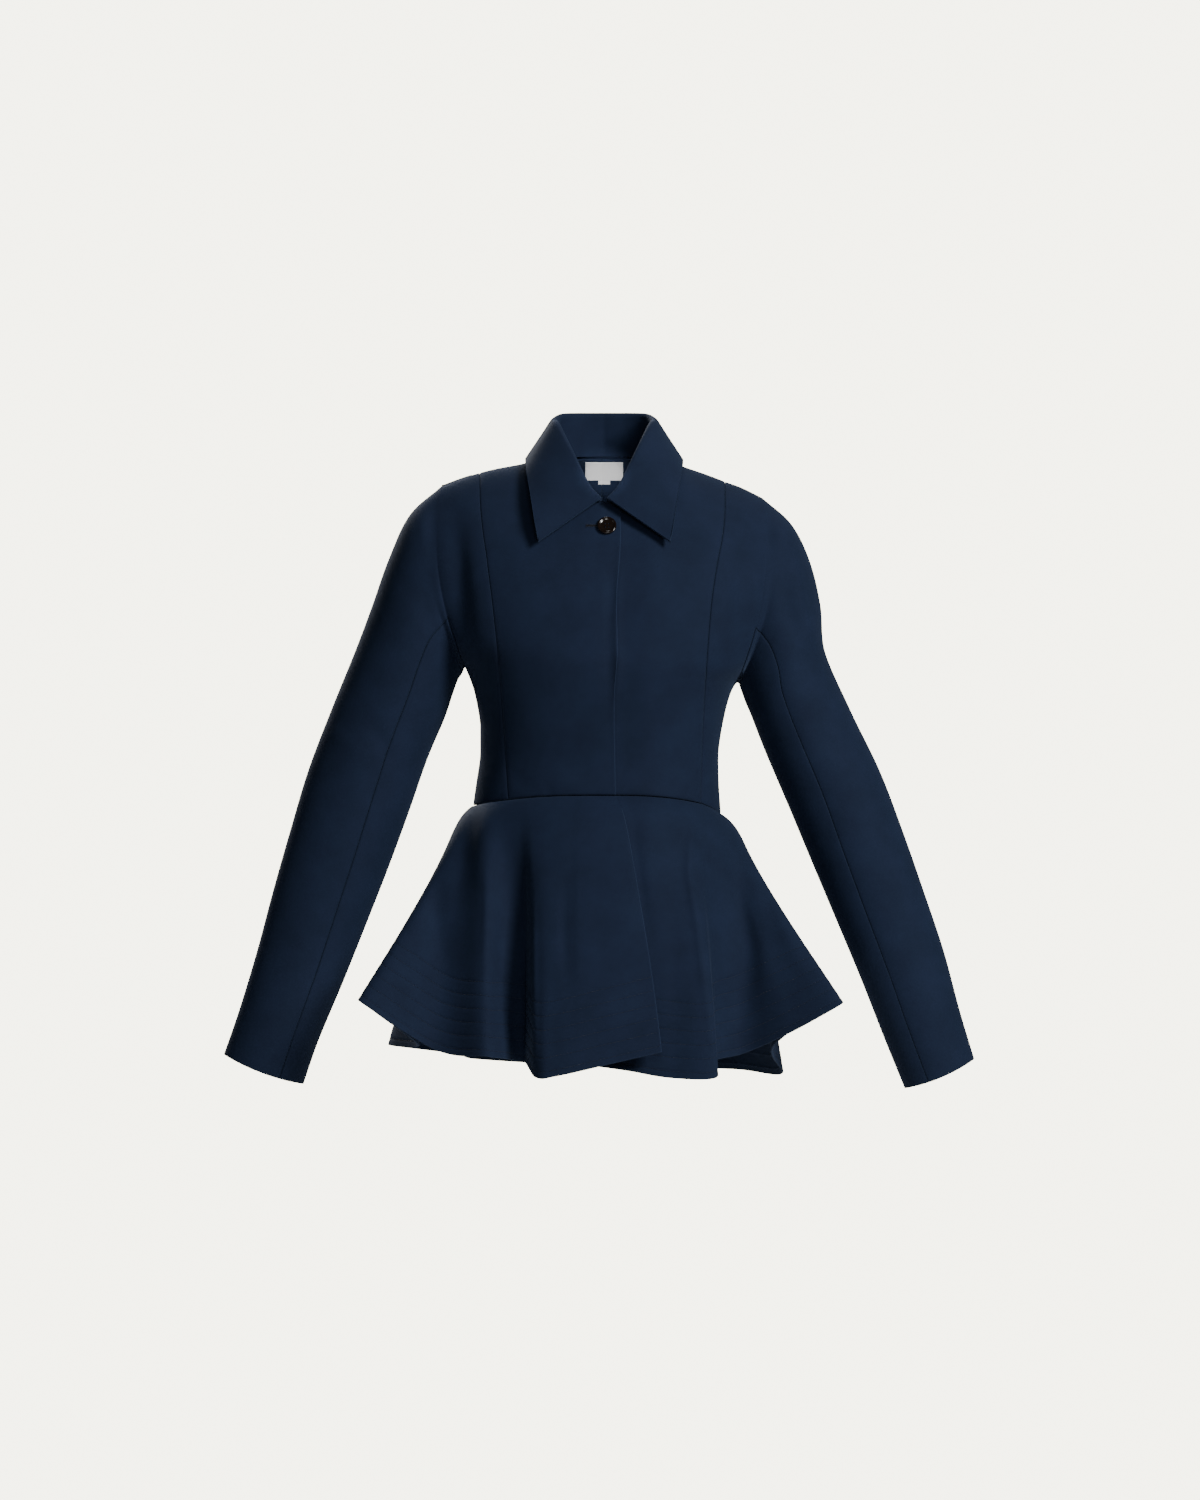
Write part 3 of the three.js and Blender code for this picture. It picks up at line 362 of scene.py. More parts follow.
def sleeve_points(side, ring, m):
    ring, m = np.broadcast_arrays(np.asarray(ring, float), np.asarray(m, float))
    row = np.where(m <= ARM_ROWS, m, 2 * ARM_ROWS - m)

    def shape(at):
        section = sleeve_section(side, at * (len(SLEEVE[side]) - 1) / RINGS)
        angle = seam_angle(section, row)
        c, z = section_point(section, angle)
        reach = np.where(m <= ARM_ROWS, -section["front"], section["back"])
        return np.stack([SIGN[side] * c, section["mid"] + reach * np.sin(angle), z], axis=-1)

    column = np.full_like(m, SIDE_COL)
    front = bodice_points("front", side, column, row)
    back = bodice_points("back", side, column, row)
    arm = np.where((m <= ARM_ROWS)[..., None], front, back)
    away = ease(ring / SLEEVE_FIT)[..., None]
    points = shape(ring) + (arm - shape(np.zeros_like(ring))) * (1 - away)
    return np.where((ring == 0)[..., None], arm, points)


# The peplum: straight lines from the waist to the foldless hem, with folds that deepen downwards
hem_track = {key: track(HEM, "at", key, True) for key in "xyz"}


def hem_points(at):
    return np.stack([hem_track[key](at) for key in "xyz"], axis=-1)


def hem_mean(at):
    reach = np.minimum(FOLD_MEAN, np.minimum(at - HEM[0]["at"], HEM[-1]["at"] - at))
    steps = np.linspace(-1, 1, FOLD_SAMPLES)
    return np.mean([hem_points(at + reach * step) for step in steps], axis=0)


def waist_points(k):
    low = float(ARM_ROWS + WAIST_ROWS)
    parts = [
        ("front", "right", k - 1), ("back", "right", 2 * SIDE_COL + 1 - k),
        ("back", "left", k - 2 * SIDE_COL - 1), ("front", "left", 4 * SIDE_COL + 1 - k),
    ]
    ends = [SIDE_COL + 1, 2 * SIDE_COL + 1, 3 * SIDE_COL + 1]
    which = np.searchsorted(ends, k, side="left")
    points = np.zeros((len(k), 3))
    for number, (face, side, column) in enumerate(parts):
        mine = which == number
        points[mine] = bodice_points(face, side, column[mine], np.full(mine.sum(), low))
    return points


def peplum_points(k, down):
    """Points of the peplum at the columns k, for rows of shares of the way down."""
    waist = waist_points(k)
    at = np.degrees(np.unwrap(np.arctan2(-waist[:, 0], -waist[:, 1])))
    mean = hem_mean(at)
    fold = hem_points(at) - mean
    away = unit((mean - waist) * [1, 1, 0])
    down = down[..., None]
    spring = SPRING * (1 - down ** 3) * (1 - np.exp(-down / SPRING_START))
    return lerp(waist, mean, down) + fold * down ** FOLD_START + away * spring


# The collar: sections from the foot over the roll to the leaf's edge
def neck_points(side, along):
    front = along <= 1
    angle = np.where(front, along, 2 - along) * math.pi / 2
    c = NECK_HALF * np.sin(angle)
    low = np.where(front, NECK_Z["front"], NECK_Z["back"])
    z = NECK_Z["side"] - (NECK_Z["side"] - low) * np.cos(angle)
    y = np.where(front, bodice_y("front", side, c, z), bodice_y("back", side, c, z))
    return np.stack([SIGN[side] * c, y, z], axis=-1)


def clear_of_bodice(points):
    out = points.copy()
    for i, (x, y, z) in enumerate(points):
        side = "right" if x < 0 else "left"
        face = "front" if y < RIDGE_Y else "back"
        top = float(shoulder_z[side](abs(x)))
        surface = float(bodice_y(face, side, abs(x), min(top, z)))
        steep = float(roll_in(top - z, FRONT_ROLL))
        over = surface - y if face == "front" else y - surface
        need = COLLAR_LIFT / max(STEEP, steep)
        if z < top + COLLAR_LIFT and over < need:
            if steep > STEEP:
                out[i, 1] += (-1 if face == "front" else 1) * (need - over)
            else:
                out[i, 2] = max(z, top + COLLAR_LIFT)
    return out


def collar_sections(side, at):
    read = {key: track(COLLAR, "at", key)(at) for key in COLLAR[0] if key != "at"}
    foot = neck_points(side, read["neck"])
    inwards = unit(-foot * np.array([1, 1, 0]))
    foot = foot + inwards * (COLLAR_WALL / 2 + COLLAR_FOOT_IN) + [0, 0, COLLAR_FOOT_UP]
    sign = SIGN[side]
    roll = np.stack([sign * read["rollX"], read["rollY"], read["rollZ"]], axis=-1)
    edge = np.stack([sign * read["edgeX"], read["edgeY"], read["edgeZ"]], axis=-1)
    edge = clear_of_bodice(edge)
    up = unit(roll - (foot + edge) / 2)
    out = edge - foot
    out = unit(out - up * np.sum(out * up, axis=-1, keepdims=True))
    radius = read["radius"][:, None]

    def near(outward, below):
        return roll + out * outward * radius - up * below * radius

    shares = [clear_of_bodice(lerp(near(1, 1), edge, share)) for share in LEAF_SPLIT]
    out_round, down_round = ROLL_ROUND
    points = [foot, lerp(foot, near(-1, 1), 0.5), near(-1, 1), near(-out_round, down_round), roll,
              near(out_round, down_round), near(1, 1), *shares, edge]
    return np.stack(points, axis=1)


def through(points, t):
    """Smooth curve through the points of axis 1, read at t from 0 to their number less one."""
    count = points.shape[1]
    before = points[:, np.maximum(np.arange(count) - 1, 0)]
    after = points[:, np.minimum(np.arange(count) + 1, count - 1)]
    length = np.linalg.norm(np.diff(points, axis=1), axis=-1)
    near = np.concatenate([length[:, :1], length], axis=1)
    far = np.concatenate([length, length[:, -1:]], axis=1)
    slope = (after - before) / (near + far)[..., None]
    i = np.clip(t.astype(int), 0, count - 2)
    u = (t - i)[None, :, None]
    step = length[:, i, None]
    first, last = slope[:, i] * step, slope[:, i + 1] * step
    u2, u3 = u * u, u * u * u
    start = points[:, i] * (2 * u3 - 3 * u2 + 1) + first * (u3 - 2 * u2 + u)
    return start + points[:, i + 1] * (3 * u2 - 2 * u3) + last * (u3 - u2)


# Cloth: grids whose points are shared where they coincide
class Cloth:
    """Quads with a place in millimetres on the flat cloth, and the piece that each belongs to."""

    def __init__(self):
        self.points = []
        self.index = {}
        self.faces = []
        self.uvs = []
        self.pieces = []

    def add(self, grid, piece_of, inside):
        rows, columns = grid.shape[:2]
        ids = np.empty((rows, columns), int)
        keys = spot_keys(grid)
        for r in range(rows):
            for k in range(columns):
                key = tuple(keys[r, k])
                if key not in self.index:
                    self.index[key] = len(self.points)
                    self.points.append(grid[r, k])
                ids[r, k] = self.index[key]
        along = np.linalg.norm(np.diff(grid, axis=1), axis=-1).mean(axis=0)
        down = np.linalg.norm(np.diff(grid, axis=0), axis=-1).mean(axis=1)
        u = np.concatenate([[0], np.cumsum(along)])
        v = np.concatenate([[0], np.cumsum(down)])
        a, b = grid[:-1, :-1], grid[:-1, 1:]
        c, d = grid[1:, 1:], grid[1:, :-1]
        normal = np.cross(c - a, d - b)
        away = np.sum(np.sign(np.sum(normal * ((a + c) / 2 - inside), axis=-1)))
        order = (0, 1, 2, 3) if away >= 0 else (3, 2, 1, 0)
        for r in range(rows - 1):
            for k in range(columns - 1):
                spots = ((r, k), (r, k + 1), (r + 1, k + 1), (r + 1, k))
                self.faces.append([ids[spots[i]] for i in order])
                self.uvs.append([(u[spots[i][1]], v[spots[i][0]]) for i in order])
                self.pieces.append(piece_of(r, k))

    def finish(self):
        self.points = np.array(self.points)
        quads = np.array(self.faces)
        corner = [self.points[quads[:, i]] for i in range(4)]
        across = np.cross(corner[2] - corner[0], corner[3] - corner[1])
        self.normals = np.zeros_like(self.points)
        for i in range(4):
            np.add.at(self.normals, quads[:, i], across)
        self.normals = unit(self.normals)
        self.owners = {}
        for face, piece in zip(self.faces, self.pieces):
            for a, b in zip(face, face[1:] + face[:1]):
                self.owners.setdefault((min(a, b), max(a, b)), set()).add(piece)


# Soft folds of the cloth, seen from the front (x, z) or from the back: half width, depth
# outwards, then the points the fold runs through
FOLDS = {
    "front": [
        (12, -7.0, (-156, -58), (-153, -130), (-146, -228)),
        (9, -3.0, (-128, -240), (-124, -290), (-122, -340)),
        (9, 1.8, (-176, -70), (-176, -140), (-166, -206)),
        (12, -2.6, (150, -70), (150, -140), (147, -222)),
        (7, 2.2, (208, -96), (213, -150), (232, -206)),
        (9, -2.4, (192, -104), (199, -160), (222, -224)),
        (8, -1.5, (-252, -276), (-236, -296), (-222, -324)),
        (10, 1.3, (-292, -286), (-272, -300), (-246, -322)),
        (9, -1.2, (232, -292), (252, -304), (282, -310)),
        (7, -1.0, (-96, -330), (-84, -344), (-70, -350)),
        (6, 0.9, (-62, -352), (-40, -342), (-22, -344)),
        (5, -0.9, (-58, -340), (-56, -352), (-54, -358)),
        (8, -1.0, (38, -338), (60, -346), (84, -350)),
        (4.5, -1.3, (11, -104), (9, -150), (8, -205), (8, -262)),
        (2.2, 0.8, (21, -66), (18, -110), (15, -160), (16, -205), (13, -256), (14, -345)),
        (4, 1.4, (16, -190), (18, -216), (15, -238)),
        (12, 4.5, (-122, -372), (-126, -405), (-128, -462)),
        (3.5, 1.4, (-122, -424), (-124, -480), (-125, -552)),
        (11, -6.0, (-176, -440), (-177, -486), (-174, -540)),
        (7, -1.8, (-38, -446), (-40, -500), (-37, -556)),
        (20, -12.0, (-104, -388), (-98, -460), (-96, -560), (-94, -640)),
        (4, 2.6, (-74, -470), (-73, -560), (-72, -655)),
        (4, 2.6, (99, -386), (94, -408), (92, -437), (102, -497), (110, -560), (123, -652)),
        (12, -7.0, (136, -386), (148, -461), (156, -518), (157, -580)),
        (8, 2.0, (176, -440), (196, -500), (216, -548)),
        (6, 1.2, (-206, -470), (-222, -520), (-238, -560)),
        (6, -1.6, (32, -372), (40, -440), (50, -510)),
    ],
    "back": [
        (14, -3.0, (-150, -70), (-148, -140), (-142, -216)),
        (12, -2.4, (150, -76), (152, -150), (146, -224)),
        (10, 1.6, (-196, -96), (-204, -150), (-214, -214)),
        (10, -1.6, (232, -282), (252, -296), (284, -300)),
        (9, -1.4, (-250, -268), (-232, -290), (-216, -318)),
        (9, -1.1, (-88, -320), (-60, -334), (-30, -336)),
        (8, -1.0, (26, -326), (58, -336), (92, -330)),
        (7, 0.9, (-52, -56), (0, -62), (54, -56)),
        (10, -3.0, (-86, -400), (-92, -480), (-88, -600)),
        (5, 2.2, (-140, -420), (-150, -520), (-146, -630)),
        (9, -2.6, (8, -410), (4, -500), (6, -610)),
        (5, 2.0, (62, -430), (64, -530), (60, -640)),
        (10, -3.4, (96, -396), (102, -480), (94, -590)),
    ],
}
FOLD_FADE = {"gain": 1.6, "start": 0.15}    # folds fade out where the cloth turns to the side
FOLD_ENDS = {"least": 0.04, "power": 0.7}   # and run out towards both of their ends
SEAM_DIP = 0.7             # the cloth is pressed down into its seams
SEAM_REACH = 3.2
FAR_FROM_SEAM = 40.0       # distances from an edge or seam are counted up to this
ROUND_FREE = 0.6           # rounding of a turned edge, and of an edge at a seam
ROUND_SEWN = 0.3
MITRE_LEAST = 0.5          # a sharp corner moves at most twice as far as its edges
EDGE_LOOPS = ((0.25, 0.2), (0.0, 0.5), (0.25, 0.8))   # shares of the rounding, and of the wall


def fold_height(points, normals):
    """How far each point stands out on the folds, less where the cloth turns from that side."""
    height = np.zeros(len(points))
    for face, folds in FOLDS.items():
        towards = -normals[:, 1] if face == "front" else normals[:, 1]
        facing = clamp01(towards * FOLD_FADE["gain"] - FOLD_FADE["start"])
        for half, out, *path in folds:
            path = np.array(path, float)
            nearest = np.full(len(points), np.inf)
            place = np.zeros(len(points))
            spans = len(path) - 1
            for i in range(spans):
                start, step = path[i], path[i + 1] - path[i]
                off = points[:, [0, 2]] - start
                share = clamp01(off @ step / (step @ step))
                gap = np.linalg.norm(off - share[:, None] * step, axis=1)
                closer = gap < nearest
                nearest = np.where(closer, gap, nearest)
                place = np.where(closer, (i + share) / spans, place)
            place = np.clip(place, FOLD_ENDS["least"], 1 - FOLD_ENDS["least"])
            taper = np.sin(math.pi * place) ** FOLD_ENDS["power"]
            height += out * facing * taper * np.exp(-(nearest / half) ** 2)
    return height


def distances(points, targets):
    tree = kdtree.KDTree(len(targets))
    for i, spot in enumerate(targets):
        tree.insert(spot, i)
    tree.balance()
    return np.array([min(FAR_FROM_SEAM, tree.find(spot)[2]) for spot in points])


def mitre(ways):
    """One step that moves a corner as far as each of its edges has to move."""
    total = np.sum(ways, axis=0)
    return unit(total) * len(ways) / max(np.linalg.norm(total), MITRE_LEAST * len(ways))


def border_edges(faces):
    """Edges that one face alone has, each with the number of its face."""
    seen = {}
    for number, face in enumerate(faces):
        for a, b in zip(face, face[1:] + face[:1]):
            key = (min(a, b), max(a, b))
            seen[key] = None if key in seen else (a, b, number)
    return [edge for edge in seen.values() if edge]


def edge_steps(cloth, border):
    """Steps of the border's points to the seam gap and to the rounding, and which have a free edge."""
    sewn, free = {}, {}
    for a, b, _ in border:
        along = unit(cloth.points[b] - cloth.points[a])
        shared = len(cloth.owners[min(a, b), max(a, b)]) > 1
        for v in (a, b):
            way = unit(np.cross(cloth.normals[v], along))
            (sewn if shared else free).setdefault(v, []).append(way)
    gap_step, round_step = {}, {}
    for v in set(sewn) | set(free):
        gap_step[v] = mitre(sewn.get(v, []) + free.get(v, [])) * SEAM_GAP / 2
        round_step[v] = mitre(free[v]) * ROUND_FREE if v in free else mitre(sewn[v]) * ROUND_SEWN
    return gap_step, round_step, free


# A finished piece is one closed wall: outer skin, rounded edges and inner skin
def wall_mesh(cloth, piece, wall, lift, seam_spots):
    mine = [i for i, name in enumerate(cloth.pieces) if name == piece]
    faces = [list(dict.fromkeys(int(v) for v in cloth.faces[i])) for i in mine]
    uv_of = [dict(zip((int(v) for v in cloth.faces[i]), cloth.uvs[i])) for i in mine]
    used = sorted({v for face in faces for v in face})
    place = {v: i for i, v in enumerate(used)}
    base = cloth.points[used]
    normals = cloth.normals[used]
    border = border_edges(faces)
    gap_step, round_step, free = edge_steps(cloth, border)
    to_edge = distances(base, [cloth.points[v] for v in gap_step])
    height = lift(base, normals)
    to_seam = np.full(len(base), FAR_FROM_SEAM)
    if seam_spots is not None:
        to_seam = distances(base, seam_spots)
        height = height - SEAM_DIP * np.exp(-to_seam / SEAM_REACH)
    surface = base + normals * height[:, None]
    count = len(used)
    outer, inner = surface.copy(), surface - normals * wall
    for v in gap_step:
        shift = gap_step[v] + round_step[v]
        outer[place[v]] += shift
        inner[place[v]] += shift
    ring = list(gap_step)
    loops = []
    for inset, down in EDGE_LOOPS:
        for v in ring:
            i = place[v]
            out = gap_step[v] + round_step[v] * inset
            if inset == 0 and v not in free:
                out = gap_step[v] * 0       # sewn pieces meet in the middle of the wall
            loops.append(surface[i] + out - normals[i] * wall * down)
    ring_place = {v: i for i, v in enumerate(ring)}
    vertices = np.concatenate([outer, inner, np.array(loops)])
    polygons, uvs = [], []
    for face, uv in zip(faces, uv_of):
        polygons.append([place[v] for v in face])
        uvs.append([uv[v] for v in face])
    for face, uv in zip(faces, uv_of):
        polygons.append([count + place[v] for v in reversed(face)])
        uvs.append([uv[v] for v in reversed(face)])
    for a, b, number in border:
        levels = [(place[a], place[b])]
        for level in range(len(EDGE_LOOPS)):
            first = 2 * count + level * len(ring)
            levels.append((first + ring_place[a], first + ring_place[b]))
        levels.append((count + place[a], count + place[b]))
        for (a0, b0), (a1, b1) in zip(levels, levels[1:]):
            polygons.append([b0, a0, a1, b1])
            uv = uv_of[number]
            uvs.append([uv[b], uv[a], uv[a], uv[b]])
    edge_mm = np.concatenate([to_edge, to_edge, np.zeros(len(loops))])
    on_edge = [to_seam[place[v]] for v in ring] * len(EDGE_LOOPS)
    seam_mm = np.concatenate([to_seam, to_seam, on_edge])
    return vertices, polygons, uvs, edge_mm, seam_mm


def make_object(name, vertices, polygons, uvs, attributes, material):
    mesh = bpy.data.meshes.new(name)
    mesh.from_pydata([tuple(v) for v in np.asarray(vertices) * MM], [], polygons)
    layer = mesh.uv_layers.new(name="cloth_mm")
    layer.data.foreach_set("uv", np.array([n for face in uvs for uv in face for n in uv], float))
    for key, values in attributes.items():
        data = mesh.attributes.new(name=key, type="FLOAT", domain="POINT")
        data.data.foreach_set("value", np.asarray(values, float))
    mesh.polygons.foreach_set("use_smooth", [True] * len(mesh.polygons))
    mesh.materials.append(material)
    piece = bpy.data.objects.new(name, mesh)
    bpy.context.scene.collection.objects.link(piece)
    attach(piece, "root")
    return piece


# Materials
CLOTH_ROUGHNESS = 0.82
THREAD_WIDTH = 0.62        # of the crepe, in millimetres
BAND_WIDTH = 0.314         # of the bands texture where its scale is 1
CREPE_LEAN = math.radians(32)


def principled(name, colour, roughness):
    material = bpy.data.materials.new(name)
    material.use_nodes = True
    shader = material.node_tree.nodes["Principled BSDF"]
    shader.inputs["Base Color"].default_value = (*colour, 1)
    shader.inputs["Roughness"].default_value = roughness
    return material, shader


def link(material, source, target):
    material.node_tree.links.new(source, target)


def add_node(material, kind, **values):
    node = material.node_tree.nodes.new(kind)
    for key, value in values.items():
        if key in node.inputs:
            node.inputs[key].default_value = value
        else:
            setattr(node, key, value)
    return node


def linear(r, g, b):
    """Linear light of a colour that is given as on a screen, from 0 to 255."""
    def one(value):
        value /= 255
        return value / 12.92 if value <= 0.04045 else ((value + 0.055) / 1.055) ** 2.4
    return one(r), one(g), one(b)


def mixed(material, factor, low, high):
    mix = add_node(material, "ShaderNodeMix", data_type="RGBA")
    link(material, factor, mix.inputs["Factor"])
    mix.inputs["A"].default_value = (*low, 1)
    mix.inputs["B"].default_value = (*high, 1)
    return mix.outputs["Result"]


def ranged(material, source, given, wanted, kind="LINEAR"):
    """Turns the given range of a value into the wanted one."""
    turned = add_node(material, "ShaderNodeMapRange", interpolation_type=kind)
    turned.inputs["From Min"].default_value, turned.inputs["From Max"].default_value = given
    turned.inputs["To Min"].default_value, turned.inputs["To Max"].default_value = wanted
    link(material, source, turned.inputs["Value"])
    return turned.outputs["Result"]


def noise(material, source, **values):
    spots = add_node(material, "ShaderNodeTexNoise", **values)
    link(material, source, spots.inputs["Vector"])
    return spots.outputs["Fac"]


def relief(material, height, strength, distance, below=None):
    bump = add_node(material, "ShaderNodeBump", Strength=strength, Distance=distance)
    link(material, height, bump.inputs["Height"])
    if below:
        link(material, below, bump.inputs["Normal"])
    return bump.outputs["Normal"]


def scaled(material, colour, share):
    dimmed = add_node(material, "ShaderNodeVectorMath", operation="SCALE")
    link(material, colour, dimmed.inputs[0])
    link(material, share, dimmed.inputs["Scale"])
    return dimmed.outputs["Vector"]


def own_place(material):
    return add_node(material, "ShaderNodeTexCoord").outputs["Object"]


def thread_pattern(material, uv):
    """Over and under threads of a fine crepe, from the cloth's own millimetres."""
    turn = add_node(material, "ShaderNodeMapping")
    turn.inputs["Rotation"].default_value = (0, 0, CREPE_LEAN)
    link(material, uv, turn.inputs["Vector"])
    cross = add_node(material, "ShaderNodeMath", operation="MULTIPLY")
    for number, direction in enumerate("XY"):
        wave = add_node(material, "ShaderNodeTexWave", bands_direction=direction)
        wave.inputs["Scale"].default_value = BAND_WIDTH / THREAD_WIDTH
        wave.inputs["Distortion"].default_value = 1.2
        wave.inputs["Detail"].default_value = 1.0
        wave.inputs["Detail Scale"].default_value = 1.5
        link(material, turn.outputs["Vector"], wave.inputs["Vector"])
        link(material, wave.outputs["Fac"], cross.inputs[number])
    return cross.outputs["Value"]


def wool_cloth():
    """Crepe of two navy tones, a little cloudy, lighter at its edges as a painted highlight and darker
    at its seams as painted shade.
    """
    light, dark, edge_highlight = linear(31, 43, 67), linear(21, 31, 51), linear(46, 60, 88)
    material, shader = principled("wool_cloth", light, CLOTH_ROUGHNESS)
    shader.inputs["Sheen Weight"].default_value = 0.10
    shader.inputs["Sheen Roughness"].default_value = 0.5
    shader.inputs["Sheen Tint"].default_value = (0.35, 0.50, 0.85, 1)
    shader.inputs["Specular IOR Level"].default_value = 0.12
    uv = add_node(material, "ShaderNodeUVMap", uv_map="cloth_mm").outputs["UV"]
    grain = add_node(material, "ShaderNodeMath", operation="ADD")
    link(material, thread_pattern(material, uv), grain.inputs[0])
    link(material, noise(material, uv, Scale=2.4, Detail=2.0, Roughness=0.7), grain.inputs[1])
    grain = grain.outputs["Value"]
    cloudy = noise(material, own_place(material), Scale=26.0, Detail=3.0, Roughness=0.6)
    threads = mixed(material, ranged(material, grain, (0.35, 1.25), (0, 1)), dark, light)
    toned = scaled(material, threads, ranged(material, cloudy, (0.3, 0.7), (0.88, 1.12)))
    # Painted highlight: within 1.6 mm of every edge the colour turns towards a lighter navy, where
    # rounded edges catch the light.
    edge = add_node(material, "ShaderNodeAttribute", attribute_name="edge_mm").outputs["Fac"]
    edge_highlight_share = ranged(material, edge, (0.0, 1.6), (0.30, 0.0), "SMOOTHSTEP")
    with_edge_highlight = add_node(material, "ShaderNodeMix", data_type="RGBA")
    link(material, edge_highlight_share, with_edge_highlight.inputs["Factor"])
    link(material, toned, with_edge_highlight.inputs["A"])
    with_edge_highlight.inputs["B"].default_value = (*edge_highlight, 1)
    # Painted shade: the colour is darkened down to 0.7 close to each seam, where its groove lies in
    # shade.
    seam = add_node(material, "ShaderNodeAttribute", attribute_name="seam_mm").outputs["Fac"]
    seam_shade = ranged(material, seam, (0.0, 2.2), (0.7, 1.0), "SMOOTHSTEP")
    link(material, scaled(material, with_edge_highlight.outputs["Result"], seam_shade), shader.inputs["Base Color"])
    crepe = relief(material, grain, 0.35, 0.00012)
    link(material, relief(material, cloudy, 0.25, 0.0012, crepe), shader.inputs["Normal"])
    return material


def sewing_thread():
    material, shader = principled("sewing_thread", linear(24, 32, 52), 0.6)
    twist = noise(material, own_place(material), Scale=1800.0, Detail=1.0)
    colour = mixed(material, twist, linear(17, 24, 42), linear(31, 40, 63))
    link(material, colour, shader.inputs["Base Color"])
    shader.inputs["Sheen Weight"].default_value = 0.1
    shader.inputs["Specular IOR Level"].default_value = 0.2
    return material


def shaded_gap():
    material, shader = principled("shaded_gap", linear(7, 9, 14), 0.95)
    fluff = noise(material, own_place(material), Scale=900.0, Detail=2.0)
    colour = mixed(material, fluff, linear(3, 4, 7), linear(13, 16, 24))
    link(material, colour, shader.inputs["Base Color"])
    return material


def label_satin():
    material, shader = principled("label_satin", linear(243, 243, 244), 0.5)
    place = own_place(material)
    ribs = add_node(material, "ShaderNodeTexWave", bands_direction="Z")
    ribs.inputs["Scale"].default_value = 480.0
    ribs.inputs["Distortion"].default_value = 0.4
    link(material, place, ribs.inputs["Vector"])
    mottle = noise(material, place, Scale=300.0, Detail=2.0)
    colour = mixed(material, mottle, linear(236, 236, 238), linear(250, 250, 251))
    link(material, colour, shader.inputs["Base Color"])
    link(material, relief(material, ribs.outputs["Fac"], 0.25, 0.00005), shader.inputs["Normal"])
    shader.inputs["Sheen Weight"].default_value = 0.15
    return material


def polished_horn():
    material, shader = principled("polished_horn", linear(16, 11, 10), 0.12)
    streaks = add_node(material, "ShaderNodeMapping")
    streaks.inputs["Scale"].default_value = (60, 60, 420)
    streaks.inputs["Rotation"].default_value = (0, math.radians(28), 0)
    link(material, own_place(material), streaks.inputs["Vector"])
    veins = noise(material, streaks.outputs["Vector"], Scale=3.0, Detail=4.0, Roughness=0.65)
    colour = mixed(material, veins, linear(6, 5, 6), linear(34, 22, 17))
    link(material, colour, shader.inputs["Base Color"])
    link(material, ranged(material, veins, (0, 1), (0.08, 0.22)), shader.inputs["Roughness"])
    shader.inputs["Coat Weight"].default_value = 0.4
    shader.inputs["Coat Roughness"].default_value = 0.08
    return material


cloth_finish = wool_cloth()
thread_finish = sewing_thread()
label_finish = label_satin()
horn_finish = polished_horn()
dark_gap = shaded_gap()


# Grids: steps in rows, columns, rings or sections, and the lines close to a seam or an edge
BODICE_STEP = 0.2          # columns, about 4 mm
BODICE_LINES = (0.06, 0.16, 0.34)
ROW_STEP = 0.16
LOW_STEP = 0.17
SLEEVE_STEP = 0.15
SLEEVE_LINES = (0.03, 0.08, 0.16)
PEPLUM_STEP = 0.1
PEPLUM_LINES = (0.025, 0.06)
PEPLUM_DOWN = 0.028        # shares of the peplum's height above its stitched rows
WAIST_LINES = (0.006, 0.015)
COLLAR_STEP = 0.1
COLLAR_LINES = (0.02, 0.05)
LEAF_STEP = 0.2
LEAF_LINES = (0.05, 0.12)
HEM_LINES = (0, 0.9, 2.4, 4.5)              # millimetres above the hem
ROW_LINES = (-0.9, 0, 0.9, 3.6, 7.6, 11.6)  # and above each row of stitches
TINY = 1e-6


def lines(start, end, step, close=(), near=BODICE_LINES):
    """Even steps from start to end, with a few close lines beside each seam or edge."""
    values = set(np.round(np.linspace(start, end, max(2, round((end - start) / step) + 1)), 6))
    for at in close:
        kept = (start, end, at)
        for gap in near:
            for value in (at - gap, at + gap):
                if start < value < end:
                    values = {v for v in values if abs(v - value) > gap * 0.35 or v in kept}
                    values.add(round(value, 6))
        values.add(float(at))
    return np.array(sorted(values))


SIDE_NAMES = {"front": "side_front_sleeve_", "back": "side_back_sleeve_"}
MIDDLE_NAMES = {"front": "centre_front_", "back": "centre_back_"}
INSIDE = {"x": 60, "z": -170}               # a point inside each half of the bodice


